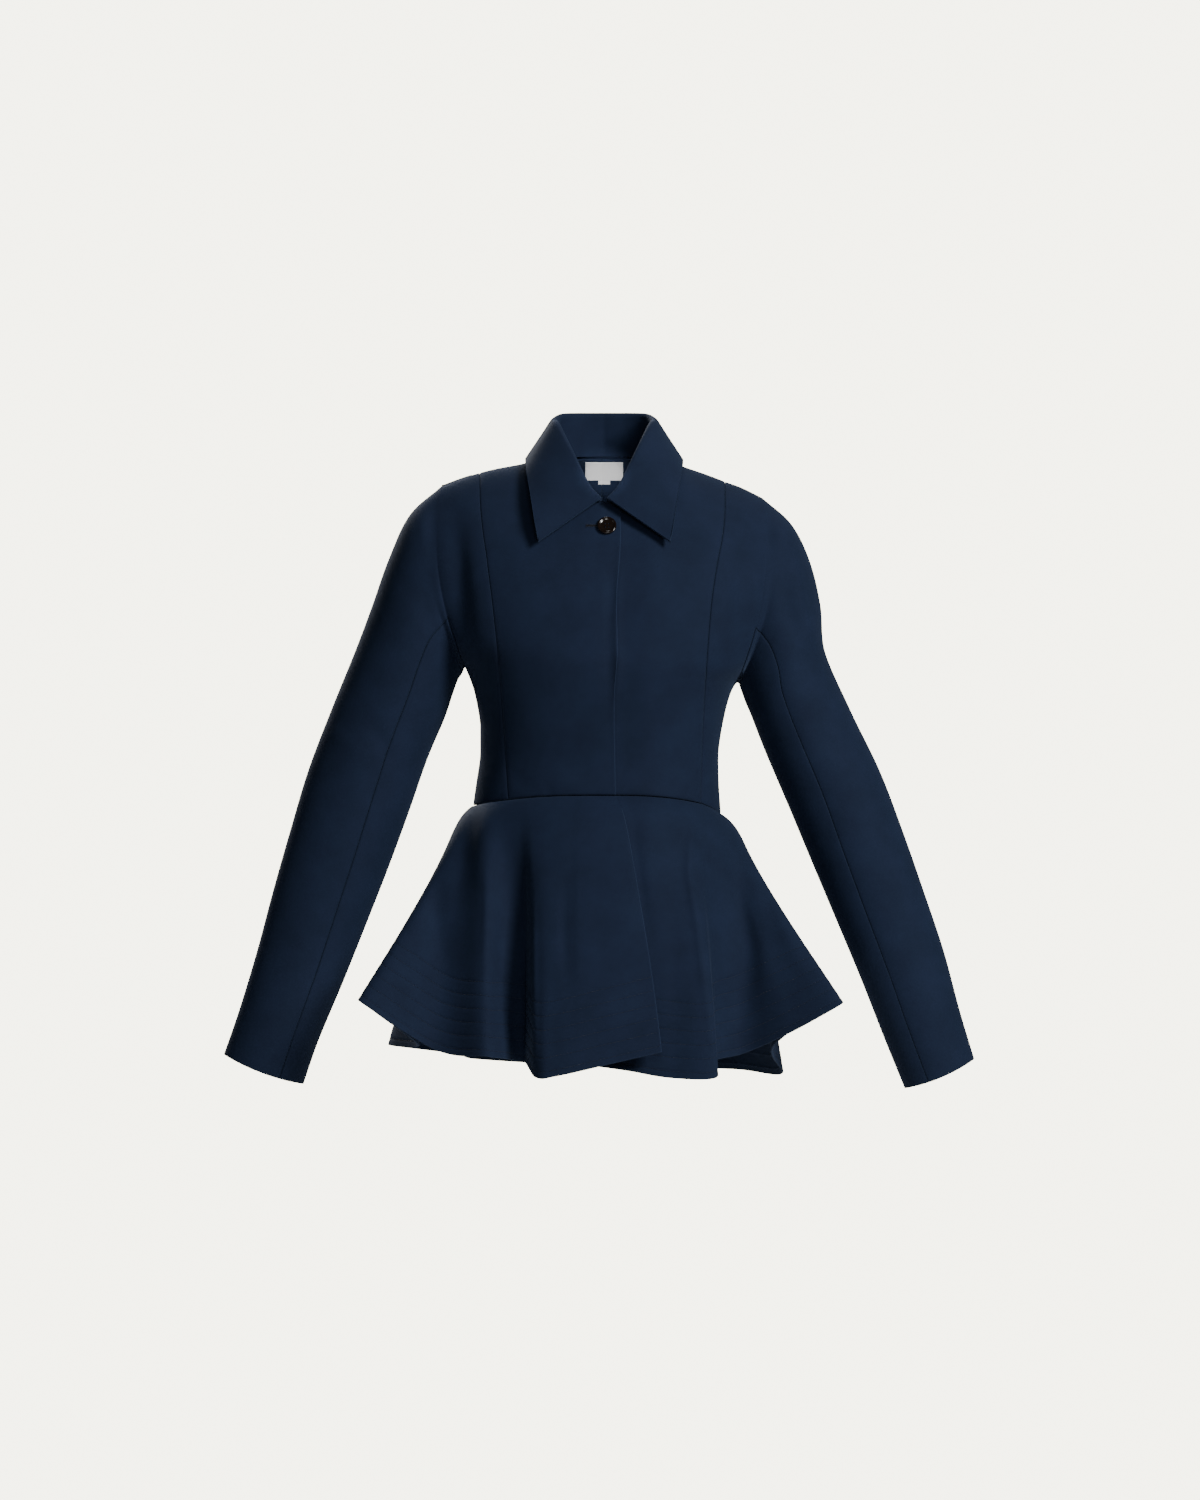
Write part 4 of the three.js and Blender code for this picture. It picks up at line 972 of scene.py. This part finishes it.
def build_body():
    cloth = Cloth()
    rows_top = lines(0, ARM_ROWS, ROW_STEP, (SEAM_ROW, ARM_ROWS))
    rows_low = lines(ARM_ROWS, ARM_ROWS + WAIST_ROWS, LOW_STEP, (ARM_ROWS + WAIST_ROWS,))
    rows = np.unique(np.concatenate([rows_top, rows_low]))
    around = np.concatenate([rows_top, 2 * ARM_ROWS - rows_top[::-1][1:]])
    rings = lines(0, RINGS, SLEEVE_STEP, (RINGS,), SLEEVE_LINES)
    for side in SIGN:
        for face in ("front", "back"):
            start = -1 if face == "front" else 0
            columns = lines(start, SIDE_COL, BODICE_STEP, (start, PRINCESS_COL, SIDE_COL))
            grid = bodice_points(face, side, columns[None, :], rows[:, None])

            def piece_of(r, k, face=face, side=side, columns=columns):
                middle = columns[k] < PRINCESS_COL - TINY
                return (MIDDLE_NAMES if middle else SIDE_NAMES)[face] + side

            cloth.add(grid, piece_of, np.array([SIGN[side] * INSIDE["x"], 0, INSIDE["z"]]))
        grid = sleeve_points(side, rings[:, None], around[None, :])

        def sleeve_piece(r, k, side=side):
            if around[k] < SEAM_ROW - TINY:
                return SIDE_NAMES["front"] + side
            over = around[k] >= 2 * ARM_ROWS - SEAM_ROW - TINY
            return (SIDE_NAMES["back"] if over else "undersleeve_") + side

        centre = (grid[:, :1] + grid[:, len(rows_top) - 1:len(rows_top)]) / 2
        cloth.add(grid, sleeve_piece, (centre[:-1] + centre[1:]) / 2)
    cloth.finish()
    return cloth


STITCH_ROWS = 6
STITCH_FIRST = 7.5         # the lowest row lies this far above the hem
STITCH_APART = 15.3
STITCH_GROOVE = 0.55
GROOVE_HALF = 0.8
NO_ROW = 1e3               # stands for a height above the hem that has no row near it
PEPLUM_COLUMNS = 4 * SIDE_COL + 2
PEPLUM_ENDS = (0, SIDE_COL + 1, 2 * SIDE_COL + 1, 3 * SIDE_COL + 1, PEPLUM_COLUMNS)
PEPLUM_NAMES = ("peplum_front_right", "peplum_back_right", "peplum_back_left", "peplum_front_left")


def hem_distances():
    rows = [STITCH_FIRST + STITCH_APART * i for i in range(STITCH_ROWS)]
    return np.array(list(HEM_LINES) + [row + step for row in rows for step in ROW_LINES])


def peplum_spans(k):
    """Height of the peplum at the columns k, as its lowest part gives it."""
    low_part = 0.3
    points = peplum_points(k, np.array([[1 - low_part], [1.0]]))
    return np.linalg.norm(points[1] - points[0], axis=-1) / low_part


def build_peplum():
    """The peplum, each of its points' height above the hem, and its pieces' lines of stitches."""
    columns = lines(0, PEPLUM_COLUMNS, PEPLUM_STEP, PEPLUM_ENDS, PEPLUM_LINES)
    above = hem_distances()
    low = 1 - above[:, None] / peplum_spans(columns)[None, :]
    shares = lines(0, 1, PEPLUM_DOWN, (0,), WAIST_LINES)[:-1]
    down = np.concatenate([shares[:, None] * low[-1][None, :], low[::-1]])
    grid = peplum_points(columns, down)

    def piece_of(r, k):
        return PEPLUM_NAMES[int(np.searchsorted(PEPLUM_ENDS[1:], columns[k] + TINY, side="right"))]

    inside = np.zeros((grid.shape[0] - 1, 1, 3))
    inside[:, 0, 2] = grid[:-1, 0, 2]
    cloth = Cloth()
    cloth.add(grid, piece_of, inside)
    cloth.finish()
    ids = np.array([[cloth.index[tuple(key)] for key in row] for row in spot_keys(grid)])
    above_hem = np.full(len(cloth.points), NO_ROW)
    above_hem[ids[len(shares):]] = above[::-1, None]
    rows = {name: [] for name in PEPLUM_NAMES}
    for number in range(STITCH_ROWS):
        row = len(above) - 1 - int(np.argmin(abs(above - STITCH_FIRST - STITCH_APART * number)))
        for name, first, last in zip(PEPLUM_NAMES, PEPLUM_ENDS, PEPLUM_ENDS[1:]):
            mine = (columns > first - TINY) & (columns < last + TINY)
            rows[name].append(ids[len(shares) + row][mine])
    return cloth, above_hem, rows


def hem_grooves(cloth, above_hem):
    """Lift of the peplum: its folds, less a groove under each row of stitches."""
    above = {tuple(key): height for key, height in zip(spot_keys(cloth.points), above_hem)}

    def lift(points, normals):
        height = fold_height(points, normals)
        for i, key in enumerate(spot_keys(points)):
            at = above[tuple(key)]
            if at < NO_ROW:
                nearest = min(abs(at - STITCH_FIRST - STITCH_APART * row) for row in range(STITCH_ROWS))
                height[i] -= STITCH_GROOVE * math.exp(-(nearest / GROOVE_HALF) ** 2)
        return height

    return lift


def build_collar():
    cloth = Cloth()
    at = lines(0, len(COLLAR) - 1, COLLAR_STEP, (0,), COLLAR_LINES)
    right = collar_sections("right", at)
    left = collar_sections("left", at[::-1][1:])
    sections = np.concatenate([right, left])
    last = sections.shape[1] - 1
    reading = lines(0, last, LEAF_STEP, (0, last), LEAF_LINES)
    grid = through(sections, reading) + [COLLAR_MIDDLE, 0, 0]
    cloth.add(grid, lambda r, k: "collar", np.array([0, 0, 20.0]))
    cloth.finish()
    return cloth


# The flat cuts: width and length in metres
CUTS = {
    "centre_front_right": (0.152, 0.378), "centre_front_left": (0.146, 0.376),
    "side_front_sleeve_right": (0.215, 0.800), "side_front_sleeve_left": (0.215, 0.800),
    "side_back_sleeve_right": (0.220, 0.810), "side_back_sleeve_left": (0.220, 0.810),
    "undersleeve_right": (0.155, 0.520), "undersleeve_left": (0.155, 0.520),
    "centre_back_right": (0.140, 0.420), "centre_back_left": (0.140, 0.420),
    "peplum_front_right": (0.480, 0.330), "peplum_front_left": (0.460, 0.330),
    "peplum_back_right": (0.480, 0.330), "peplum_back_left": (0.440, 0.330),
    "collar": (0.390, 0.130),
}


def outer_area(cloth, piece):
    quads = np.array([face for face, name in zip(cloth.faces, cloth.pieces) if name == piece])
    a, b, c, d = (cloth.points[quads[:, i]] for i in range(4))
    across = np.cross(c - a, d - b)
    return float(np.linalg.norm(across, axis=1).sum() / 2) * MM * MM


def declare(name, area):
    width, length = CUTS[name]


def even_lift(height):
    return lambda points, normals: np.full(len(points), height)


def shared_spots(cloth, name):
    """Points of a piece that another piece shares."""
    owners = {}
    for face, piece in zip(cloth.faces, cloth.pieces):
        for v in face:
            owners.setdefault(int(v), set()).add(piece)
    return [cloth.points[v] for v, pieces in owners.items() if name in pieces and len(pieces) > 1]


def dress(cloth, wall, lift, waist_line=None):
    """Makes each piece of a cloth in place of its node, pressed at its seams and at the waist."""
    for name in sorted(set(cloth.pieces)):
        spots = None if waist_line is None else shared_spots(cloth, name) + list(waist_line)
        vertices, polygons, uvs, edge_mm, seam_mm = wall_mesh(cloth, name, wall, lift, spots)
        piece = make_object(name + "_cloth", vertices, polygons, uvs,
                            {"edge_mm": edge_mm, "seam_mm": seam_mm}, cloth_finish)
        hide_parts(name)
        declare(name, outer_area(cloth, name))


# Hard pieces and threads, each modelled flat, face up, and then set in its place
def start_piece(add, **shape):
    bpy.ops.object.select_all(action="DESELECT")
    add(**shape)
    piece = bpy.context.object
    bpy.ops.object.transform_apply(location=True, rotation=True, scale=True)
    bpy.ops.object.mode_set(mode="EDIT")
    return piece


def pick_faces(piece, wanted):
    bpy.ops.mesh.select_mode(type="FACE")
    bpy.ops.mesh.select_all(action="DESELECT")
    mesh = bmesh.from_edit_mesh(piece.data)
    for face in mesh.faces:
        face.select_set(bool(wanted(face.calc_center_median() / MM, face.normal)))
    bmesh.update_edit_mesh(piece.data)


def pick_edges(piece, wanted):
    bpy.ops.mesh.select_mode(type="EDGE")
    bpy.ops.mesh.select_all(action="DESELECT")
    mesh = bmesh.from_edit_mesh(piece.data)
    for edge in mesh.edges:
        spots = [corner.co / MM for corner in edge.verts]
        edge.select_set(all(wanted(spot) for spot in spots))
    bmesh.update_edit_mesh(piece.data)


def close_up(piece):
    """Merges doubles, turns the faces outwards and leaves edit mode."""
    bpy.ops.mesh.select_all(action="SELECT")
    bpy.ops.mesh.remove_doubles(threshold=0.005 * MM)
    bpy.ops.mesh.normals_make_consistent(inside=False)
    bpy.ops.object.mode_set(mode="OBJECT")
    bpy.ops.object.shade_smooth_by_angle(angle=math.radians(40))
    return piece


def join(first, others):
    bpy.ops.object.select_all(action="DESELECT")
    for piece in (first, *others):
        piece.select_set(True)
    bpy.context.view_layer.objects.active = first
    bpy.ops.object.join()
    return first


def chest_place(x, z, out=0.0):
    """Turn and place on the over front for a piece modelled flat with its face up."""
    def chest(at):
        return float(bodice_y("front", "left", abs(x), at))
    slope = (chest(z + BUTTON_RADIUS) - chest(z - BUTTON_RADIUS)) / (2 * BUTTON_RADIUS)
    way = unit(np.array([0.0, -1.0, slope]))
    across = np.array([1.0, 0.0, 0.0])
    turn = np.stack([across, np.cross(way, across), way], axis=1)
    return turn, np.array([x, chest(z), z]) + way * out


def set_in_place(piece, turn, at):
    matrix = Matrix(np.vstack([np.column_stack([turn, at * MM]), [0, 0, 0, 1]]).tolist())
    piece.data.transform(matrix)


def finished(piece, name, finish):
    piece.name = name
    piece.data.name = name
    piece.data.materials.clear()
    piece.data.materials.append(finish)
    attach(piece, "root")


def copied(model, places, name, finish):
    """One mesh of many copies of a modelled piece, each with its turn and place."""
    spots = np.array([spot.co for spot in model.data.vertices])
    faces = [list(face.vertices) for face in model.data.polygons]
    every = np.concatenate([spots @ turn.T + at * MM for turn, at in places])
    mesh = bpy.data.meshes.new(name)
    mesh.from_pydata(every.tolist(), [], [[v + n * len(spots) for v in face]
                                          for n in range(len(places)) for face in faces])
    mesh.polygons.foreach_set("use_smooth", [True] * len(mesh.polygons))
    piece = bpy.data.objects.new(name, mesh)
    bpy.context.scene.collection.objects.link(piece)
    finished(piece, name, finish)
    bpy.data.objects.remove(model)


# Sewing: one stitch is modelled, then laid along its rows
STITCH_LONG = 3.2
STITCH_STEP = 3.7
STITCH_THICK = 0.5
STITCH_SUNK = 0.2          # the thread's middle lies this far above the bottom of its groove
STITCH_MARGIN = 3.0        # a row starts this far from the end of its piece
STITCH_DIP = 0.18          # its two ends go down this far into the cloth
STITCH_TIP = {"long": 0.45, "thin": 0.55}
SEWN_BY_HAND = {"step": 0.12, "lean": 0.04}
LOOK_AROUND = 0.8          # the line's direction is read this far before and after a stitch


def one_stitch(long, thick, dip):
    body = long / 2 - STITCH_TIP["long"]
    stitch = start_piece(bpy.ops.mesh.primitive_cylinder_add, vertices=6, radius=thick / 2 * MM,
                         depth=2 * body * MM, rotation=(0, math.pi / 2, 0))
    for sign in (1, -1):
        pick_faces(stitch, lambda at, way: way.x * sign > 0.9)
        bpy.ops.mesh.extrude_region_move(
            TRANSFORM_OT_translate={"value": (sign * STITCH_TIP["long"] * MM, 0, -dip * MM)})
        bpy.ops.transform.resize(value=(1, STITCH_TIP["thin"], STITCH_TIP["thin"]))
    return close_up(stitch)


def row_places(points, normals):
    """Turns and places of the stitches along a line of the cloth, its ends left free."""
    gaps = np.linalg.norm(np.diff(points, axis=0), axis=1)
    run = np.concatenate([[0], np.cumsum(gaps)])
    count = int((run[-1] - 2 * STITCH_MARGIN) / STITCH_STEP)
    start = (run[-1] - count * STITCH_STEP) / 2

    def read(values, at):
        return np.array([np.interp(at, run, values[:, i]) for i in range(3)])

    places = []
    for number in range(count + 1):
        at = start + number * STITCH_STEP + random.uniform(-SEWN_BY_HAND["step"], SEWN_BY_HAND["step"])
        way = unit(read(normals, at))
        along = read(points, at + LOOK_AROUND) - read(points, at - LOOK_AROUND)
        lean = random.uniform(-SEWN_BY_HAND["lean"], SEWN_BY_HAND["lean"])
        along = unit(along - way * (along @ way) + np.cross(way, along) * lean)
        turn = np.stack([along, np.cross(way, along), way], axis=1)
        places.append((turn, read(points, at) + way * STITCH_SUNK))
    return places


def sew_hem(cloth, lift, rows):
    height = lift(cloth.points, cloth.normals)
    skin = cloth.points + cloth.normals * height[:, None]
    for name, lines_of_piece in rows.items():
        places = []
        for ids in lines_of_piece:
            places += row_places(skin[ids], cloth.normals[ids])
        stitch = one_stitch(STITCH_LONG, STITCH_THICK, STITCH_DIP)
        copied(stitch, places, name.replace("peplum", "hem_stitches"), thread_finish)


# The button, its thread and its worked buttonhole
BUTTON_X = 5.4
BUTTON_Z = -69.6
BUTTON_RADIUS = 10.2
BUTTON_THICK = 3.6
BUTTON_GAP = 0.6
BUTTON_SIDES = 56
RIM = 1.9                  # width of the raised rim
RIM_SLOPE = 1.2
DISH = 0.95                # depth of the middle below the rim
MIDDLE = {"in": 2.2, "down": 0.2}
ROUNDED = {"rim": (0.95, 5), "inner": (0.55, 4), "back": (1.1, 4)}     # each radius and its steps
HOLE_RADIUS = 0.95
HOLE_SPREAD = 2.0
HOLE_SIDES = 20
NEAR = 0.1                 # edges within this of where they are looked for are picked
STRAND = {"radius": 0.36, "flat": 0.5, "sunk": 0.35, "rows": (-2.35, -1.65, 1.65, 2.35)}
BUTTONHOLE = {"left": -16.5, "right": 8.0, "z": -68.6, "slit": 0.7, "purl": 1.5, "step": 0.46}
PURL = {"thick": 0.42, "dip": 0.25, "out": 0.22, "lean": 0.08}
EYE = {"stitches": 9, "first": -80, "step": 20}                        # degrees round the eye
BAR = {"stitches": 5, "x": -0.5, "first": -1.6, "step": 0.8, "out": 0.36}
SLIT = {"wide": 1.6, "thick": 0.3, "round": 0.12, "out": 0.06}


def build_button():
    button = start_piece(bpy.ops.mesh.primitive_cylinder_add, vertices=BUTTON_SIDES,
                         radius=BUTTON_RADIUS * MM, depth=BUTTON_THICK * MM,
                         location=(0, 0, BUTTON_THICK / 2 * MM))
    pick_faces(button, lambda at, way: way.z > 0.9)
    bpy.ops.mesh.inset(thickness=RIM * MM)
    bpy.ops.mesh.inset(thickness=RIM_SLOPE * MM, depth=-DISH * MM)
    bpy.ops.mesh.inset(thickness=MIDDLE["in"] * MM, depth=-MIDDLE["down"] * MM)
    edges = {"rim": (BUTTON_THICK, BUTTON_RADIUS), "inner": (BUTTON_THICK, BUTTON_RADIUS - RIM),
             "back": (0, BUTTON_RADIUS)}
    for name, (height, radius) in edges.items():
        pick_edges(button, lambda spot: abs(spot.z - height) < NEAR / 2
                   and abs(spot.xy.length - radius) < NEAR)
        offset, segments = ROUNDED[name]
        bpy.ops.mesh.bevel(offset=offset * MM, segments=segments, affect="EDGES")
    close_up(button)
    drill_holes(button)
    set_in_place(button, *chest_place(BUTTON_X, BUTTON_Z, BUTTON_GAP))
    finished(button, "button_disc", horn_finish)
    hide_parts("button")


def drill_holes(button):
    drills = []
    for x, y in ((1, 1), (1, -1), (-1, 1), (-1, -1)):
        drill = start_piece(bpy.ops.mesh.primitive_cylinder_add, vertices=HOLE_SIDES,
                            radius=HOLE_RADIUS * MM, depth=4 * BUTTON_THICK * MM,
                            location=(x * HOLE_SPREAD * MM, y * HOLE_SPREAD * MM, 0))
        drills.append(close_up(drill))
    drill = join(drills[0], drills[1:])
    bpy.ops.object.select_all(action="DESELECT")
    button.select_set(True)
    bpy.context.view_layer.objects.active = button
    cut = button.modifiers.new("holes", "BOOLEAN")
    cut.object = drill
    cut.operation = "DIFFERENCE"
    cut.solver = "EXACT"
    bpy.ops.object.modifier_apply(modifier=cut.name)
    bpy.data.objects.remove(drill)
    bpy.ops.object.shade_smooth_by_angle(angle=math.radians(35))


def build_button_thread():
    """Each strand is half a ring that comes up through one hole and goes down through the next."""
    loop = start_piece(bpy.ops.mesh.primitive_circle_add, vertices=8, radius=STRAND["radius"] * MM,
                       fill_type="NGON", location=(HOLE_SPREAD * MM, 0, 0))
    bpy.ops.mesh.spin(steps=10, angle=math.pi, center=(0, 0, 0), axis=(0, -1, 0))
    bpy.ops.mesh.select_all(action="SELECT")
    bpy.ops.transform.resize(value=(1, 1, STRAND["flat"]), center_override=(0, 0, 0))
    close_up(loop)
    turn, at = chest_place(BUTTON_X, BUTTON_Z, BUTTON_GAP)
    up = turn[:, 2] * (BUTTON_THICK - DISH - STRAND["sunk"])
    places = [(turn, at + up + turn[:, 1] * y) for y in STRAND["rows"]]
    copied(loop, places, "button_thread", thread_finish)


def build_buttonhole():
    """Purl stitches round a slit, fanned round its eye, with a bar tack at the other end."""
    left, right, z = BUTTONHOLE["left"], BUTTONHOLE["right"], BUTTONHOLE["z"]
    reach = (BUTTONHOLE["slit"] + BUTTONHOLE["purl"]) / 2
    places = []

    def lay(x, dz, angle, out=PURL["out"]):
        turn, at = chest_place(x, z + dz, out)
        swing = np.array([[math.cos(angle), -math.sin(angle), 0],
                          [math.sin(angle), math.cos(angle), 0], [0, 0, 1]])
        places.append((turn @ swing, at))

    count = int((right - left) / BUTTONHOLE["step"])
    for number in range(count + 1):
        x = left + BUTTONHOLE["step"] * number
        for sign in (1, -1):
            lay(x, sign * reach, math.pi / 2 + random.uniform(-PURL["lean"], PURL["lean"]))
    for number in range(EYE["stitches"]):
        angle = math.radians(EYE["first"] + EYE["step"] * number)
        lay(right + reach * math.cos(angle), reach * math.sin(angle), angle)
    for number in range(BAR["stitches"]):
        lay(left + BAR["x"], BAR["first"] + BAR["step"] * number, math.pi / 2, BAR["out"])
    stitch = one_stitch(BUTTONHOLE["purl"], PURL["thick"], PURL["dip"])
    copied(stitch, places, "buttonhole_stitches", thread_finish)


# The slit is a thin near-black strip on the cloth: painted shade for the shadow in the buttonhole's
# cut.
def build_slit():
    left, right, z = BUTTONHOLE["left"], BUTTONHOLE["right"], BUTTONHOLE["z"]
    slit = start_piece(bpy.ops.mesh.primitive_cube_add, size=1)
    high = BUTTONHOLE["slit"] * SLIT["wide"]
    bpy.ops.transform.resize(value=((right - left) * MM, high * MM, SLIT["thick"] * MM))
    bpy.ops.mesh.bevel(offset=SLIT["round"] * MM, segments=2, affect="EDGES")
    close_up(slit)
    set_in_place(slit, *chest_place((left + right) / 2, z, SLIT["out"]))
    finished(slit, "buttonhole_slit", dark_gap)


# The plain label and the size tab below it, on the inside of the back
LABEL = {"x": 2.5, "width": 42, "top": 3, "height": 20, "thick": 0.55, "out": 0.55,
         "wave": 0.12, "split": (43, 22)}
TAB_TUCK = 0.4             # the tab starts this far under the label
TAB = {"x": 2.5, "width": 14, "top": LABEL["top"] - LABEL["height"] + TAB_TUCK, "height": 5,
       "thick": 0.35, "out": 0.0, "wave": 0.05, "split": (16, 8)}
LABEL_GAP = 1.15
LABEL_REACH = 2            # the back's slope is read over this distance


def inside_back(x, z, inset):
    def back(px, pz):
        low_z = np.minimum(pz, NECK_Z["back"])
        side_right = bodice_y("back", "right", abs(px), low_z)
        side_left = bodice_y("back", "left", abs(px), low_z)
        return np.where(px < 0, side_right, side_left)

    reach = LABEL_REACH
    slope_x = (back(x + reach, z) - back(x - reach, z)) / (2 * reach)
    slope_z = (back(x, z) - back(x, z - reach)) / reach
    way = unit(np.stack([-slope_x, np.ones_like(x), -slope_z], axis=-1))
    return np.stack([x, back(x, z), z], axis=-1) - way * inset[..., None]


def build_tape(name, size):
    """A tape laid on the inside of the back, a little uneven, with rounded edges."""
    across, down = np.meshgrid(np.linspace(-0.5, 0.5, size["split"][0]),
                               np.linspace(0, 1, size["split"][1]))
    ripple = size["wave"] * np.sin(5.1 * across + 1.3) * np.sin(2.6 * down + 0.6)
    points = inside_back(size["x"] + size["width"] * across, size["top"] - size["height"] * down,
                         WALL + LABEL_GAP + ripple)
    cloth = Cloth()
    cloth.add(points[:, ::-1], lambda r, k: name, np.array([0, 400.0, 0]))
    cloth.finish()
    lift = even_lift(size["out"])
    vertices, polygons, uvs, edge_mm, _ = wall_mesh(cloth, name, size["thick"], lift, None)
    piece = make_object(name + "_cloth", vertices, polygons, uvs, {"edge_mm": edge_mm},
                        label_finish)
    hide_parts(name)
    return piece


def build_label():
    label = build_tape("neck_label", LABEL)
    tab = build_tape("size_tab", TAB)


# Floor, light and camera
FRAME_HEIGHT = 1.605       # metres of the garment's plane that the image is high
LOOK_X = -0.002
LOOK_Z = -0.308
CAMERA_AWAY = 30.0
SENSOR = 24
FLOOR_Z = -1.45
FLOOR_RADIUS = 3.2
FLOOR_FADE = (0.5, 2.6)    # it fades into the backdrop between these distances from its middle
BACKDROP = (1.0, 0.975, 0.80)
BACKDROP_LIGHT = 6.0
ROOM_LIGHT = 0.035
BEAM = {"degrees": 0.86, "soft_edge": 0.35, "radius": 0.01, "watts": 400,
        "from": (0.0, -3.0, 0.02), "to": (0.0025, 0.09, -0.012)}


def pale_floor():
    bpy.ops.object.select_all(action="DESELECT")
    bpy.ops.mesh.primitive_circle_add(vertices=96, radius=FLOOR_RADIUS, fill_type="NGON",
                                      location=(0, 0, FLOOR_Z))
    floor = bpy.context.object
    floor.name = "pale_floor"
    bpy.ops.object.transform_apply(location=True, rotation=True, scale=True)
    material, shader = principled("pale_floor_paint", linear(241, 240, 234), 0.9)
    away = add_node(material, "ShaderNodeVectorMath", operation="LENGTH")
    flat = add_node(material, "ShaderNodeMapping")
    flat.inputs["Scale"].default_value = (1, 1, 0)
    link(material, own_place(material), flat.inputs["Vector"])
    link(material, flat.outputs["Vector"], away.inputs[0])
    fade = ranged(material, away.outputs["Value"], FLOOR_FADE, (1.0, 0.0), "SMOOTHERSTEP")
    link(material, fade, shader.inputs["Alpha"])
    floor.data.materials.append(material)
    floor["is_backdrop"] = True


def hang(name, data, place, towards):
    lamp = bpy.data.objects.new(name, data)
    lamp.location = place
    lamp.rotation_euler = (Vector(towards) - Vector(place)).to_track_quat("-Z", "Y").to_euler()
    bpy.context.scene.collection.objects.link(lamp)


def area_light(name, place, towards, size, power):
    data = bpy.data.lights.new(name, "AREA")
    data.shape = "RECTANGLE"
    data.size, data.size_y = size
    data.energy = power
    hang(name, data, place, towards)


def label_light():
    """A narrow beam through the open neck, because the label is bright in the photo."""
    data = bpy.data.lights.new("label_light", "SPOT")
    data.spot_size = math.radians(BEAM["degrees"])
    data.spot_blend = BEAM["soft_edge"]
    data.shadow_soft_size = BEAM["radius"]
    data.energy = BEAM["watts"]
    hang("label_light", data, BEAM["from"], BEAM["to"])


def backdrop():
    """Paper behind the jacket, which the lens alone sees; the room's own light is dim."""
    world = bpy.data.worlds.new("studio")
    bpy.context.scene.world = world
    world.use_nodes = True
    tree = world.node_tree
    room = tree.nodes["Background"]
    room.inputs["Color"].default_value = (1, 1, 1, 1)
    room.inputs["Strength"].default_value = ROOM_LIGHT
    paper = tree.nodes.new("ShaderNodeBackground")
    paper.inputs["Color"].default_value = (*BACKDROP, 1)
    paper.inputs["Strength"].default_value = BACKDROP_LIGHT
    seen = tree.nodes.new("ShaderNodeLightPath")
    choose = tree.nodes.new("ShaderNodeMixShader")
    tree.links.new(seen.outputs["Is Camera Ray"], choose.inputs["Fac"])
    tree.links.new(room.outputs["Background"], choose.inputs[1])
    tree.links.new(paper.outputs["Background"], choose.inputs[2])
    tree.links.new(choose.outputs["Shader"], tree.nodes["World Output"].inputs["Surface"])


def studio():
    backdrop()
    chest, waist = (0, 0, -0.2), (0, 0, -0.3)
    area_light("key", (2.3, -2.7, 1.5), waist, (1.0, 1.4), 142)
    area_light("front", (0.3, -3.5, 0.5), chest, (1.0, 1.0), 20)
    area_light("fill", (-2.8, -2.2, 0.9), waist, (1.2, 1.6), 2)
    area_light("top", (0.2, 1.6, 2.6), waist, (1.6, 1.6), 25)
    area_light("back", (-1.4, 3.2, 1.4), waist, (1.4, 1.8), 90)
    label_light()


def camera():
    data = bpy.data.cameras.new("camera")
    data.sensor_fit = "VERTICAL"
    data.sensor_height = SENSOR
    data.lens = SENSOR * CAMERA_AWAY / FRAME_HEIGHT
    data.clip_end = 2 * CAMERA_AWAY
    eye = bpy.data.objects.new("camera", data)
    eye.location = (LOOK_X, -CAMERA_AWAY, LOOK_Z)
    eye.rotation_euler = (math.radians(90), 0, 0)
    bpy.context.scene.collection.objects.link(eye)
    bpy.context.scene.camera = eye


# The jacket, piece by piece, and then its studio
waist_line = waist_points(lines(0, PEPLUM_COLUMNS, PEPLUM_STEP))
dress(build_body(), WALL, fold_height, waist_line)
peplum, above_hem, stitched_rows = build_peplum()
peplum_lift = hem_grooves(peplum, above_hem)
dress(peplum, WALL, peplum_lift, waist_line)
sew_hem(peplum, peplum_lift, stitched_rows)
build_button()
build_button_thread()
build_buttonhole()
build_slit()
build_label()
dress(build_collar(), COLLAR_WALL, even_lift(COLLAR_WALL / 2))
pale_floor()
studio()
camera()
[[list(corner) for corner in box] for box in (cad_box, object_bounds())]
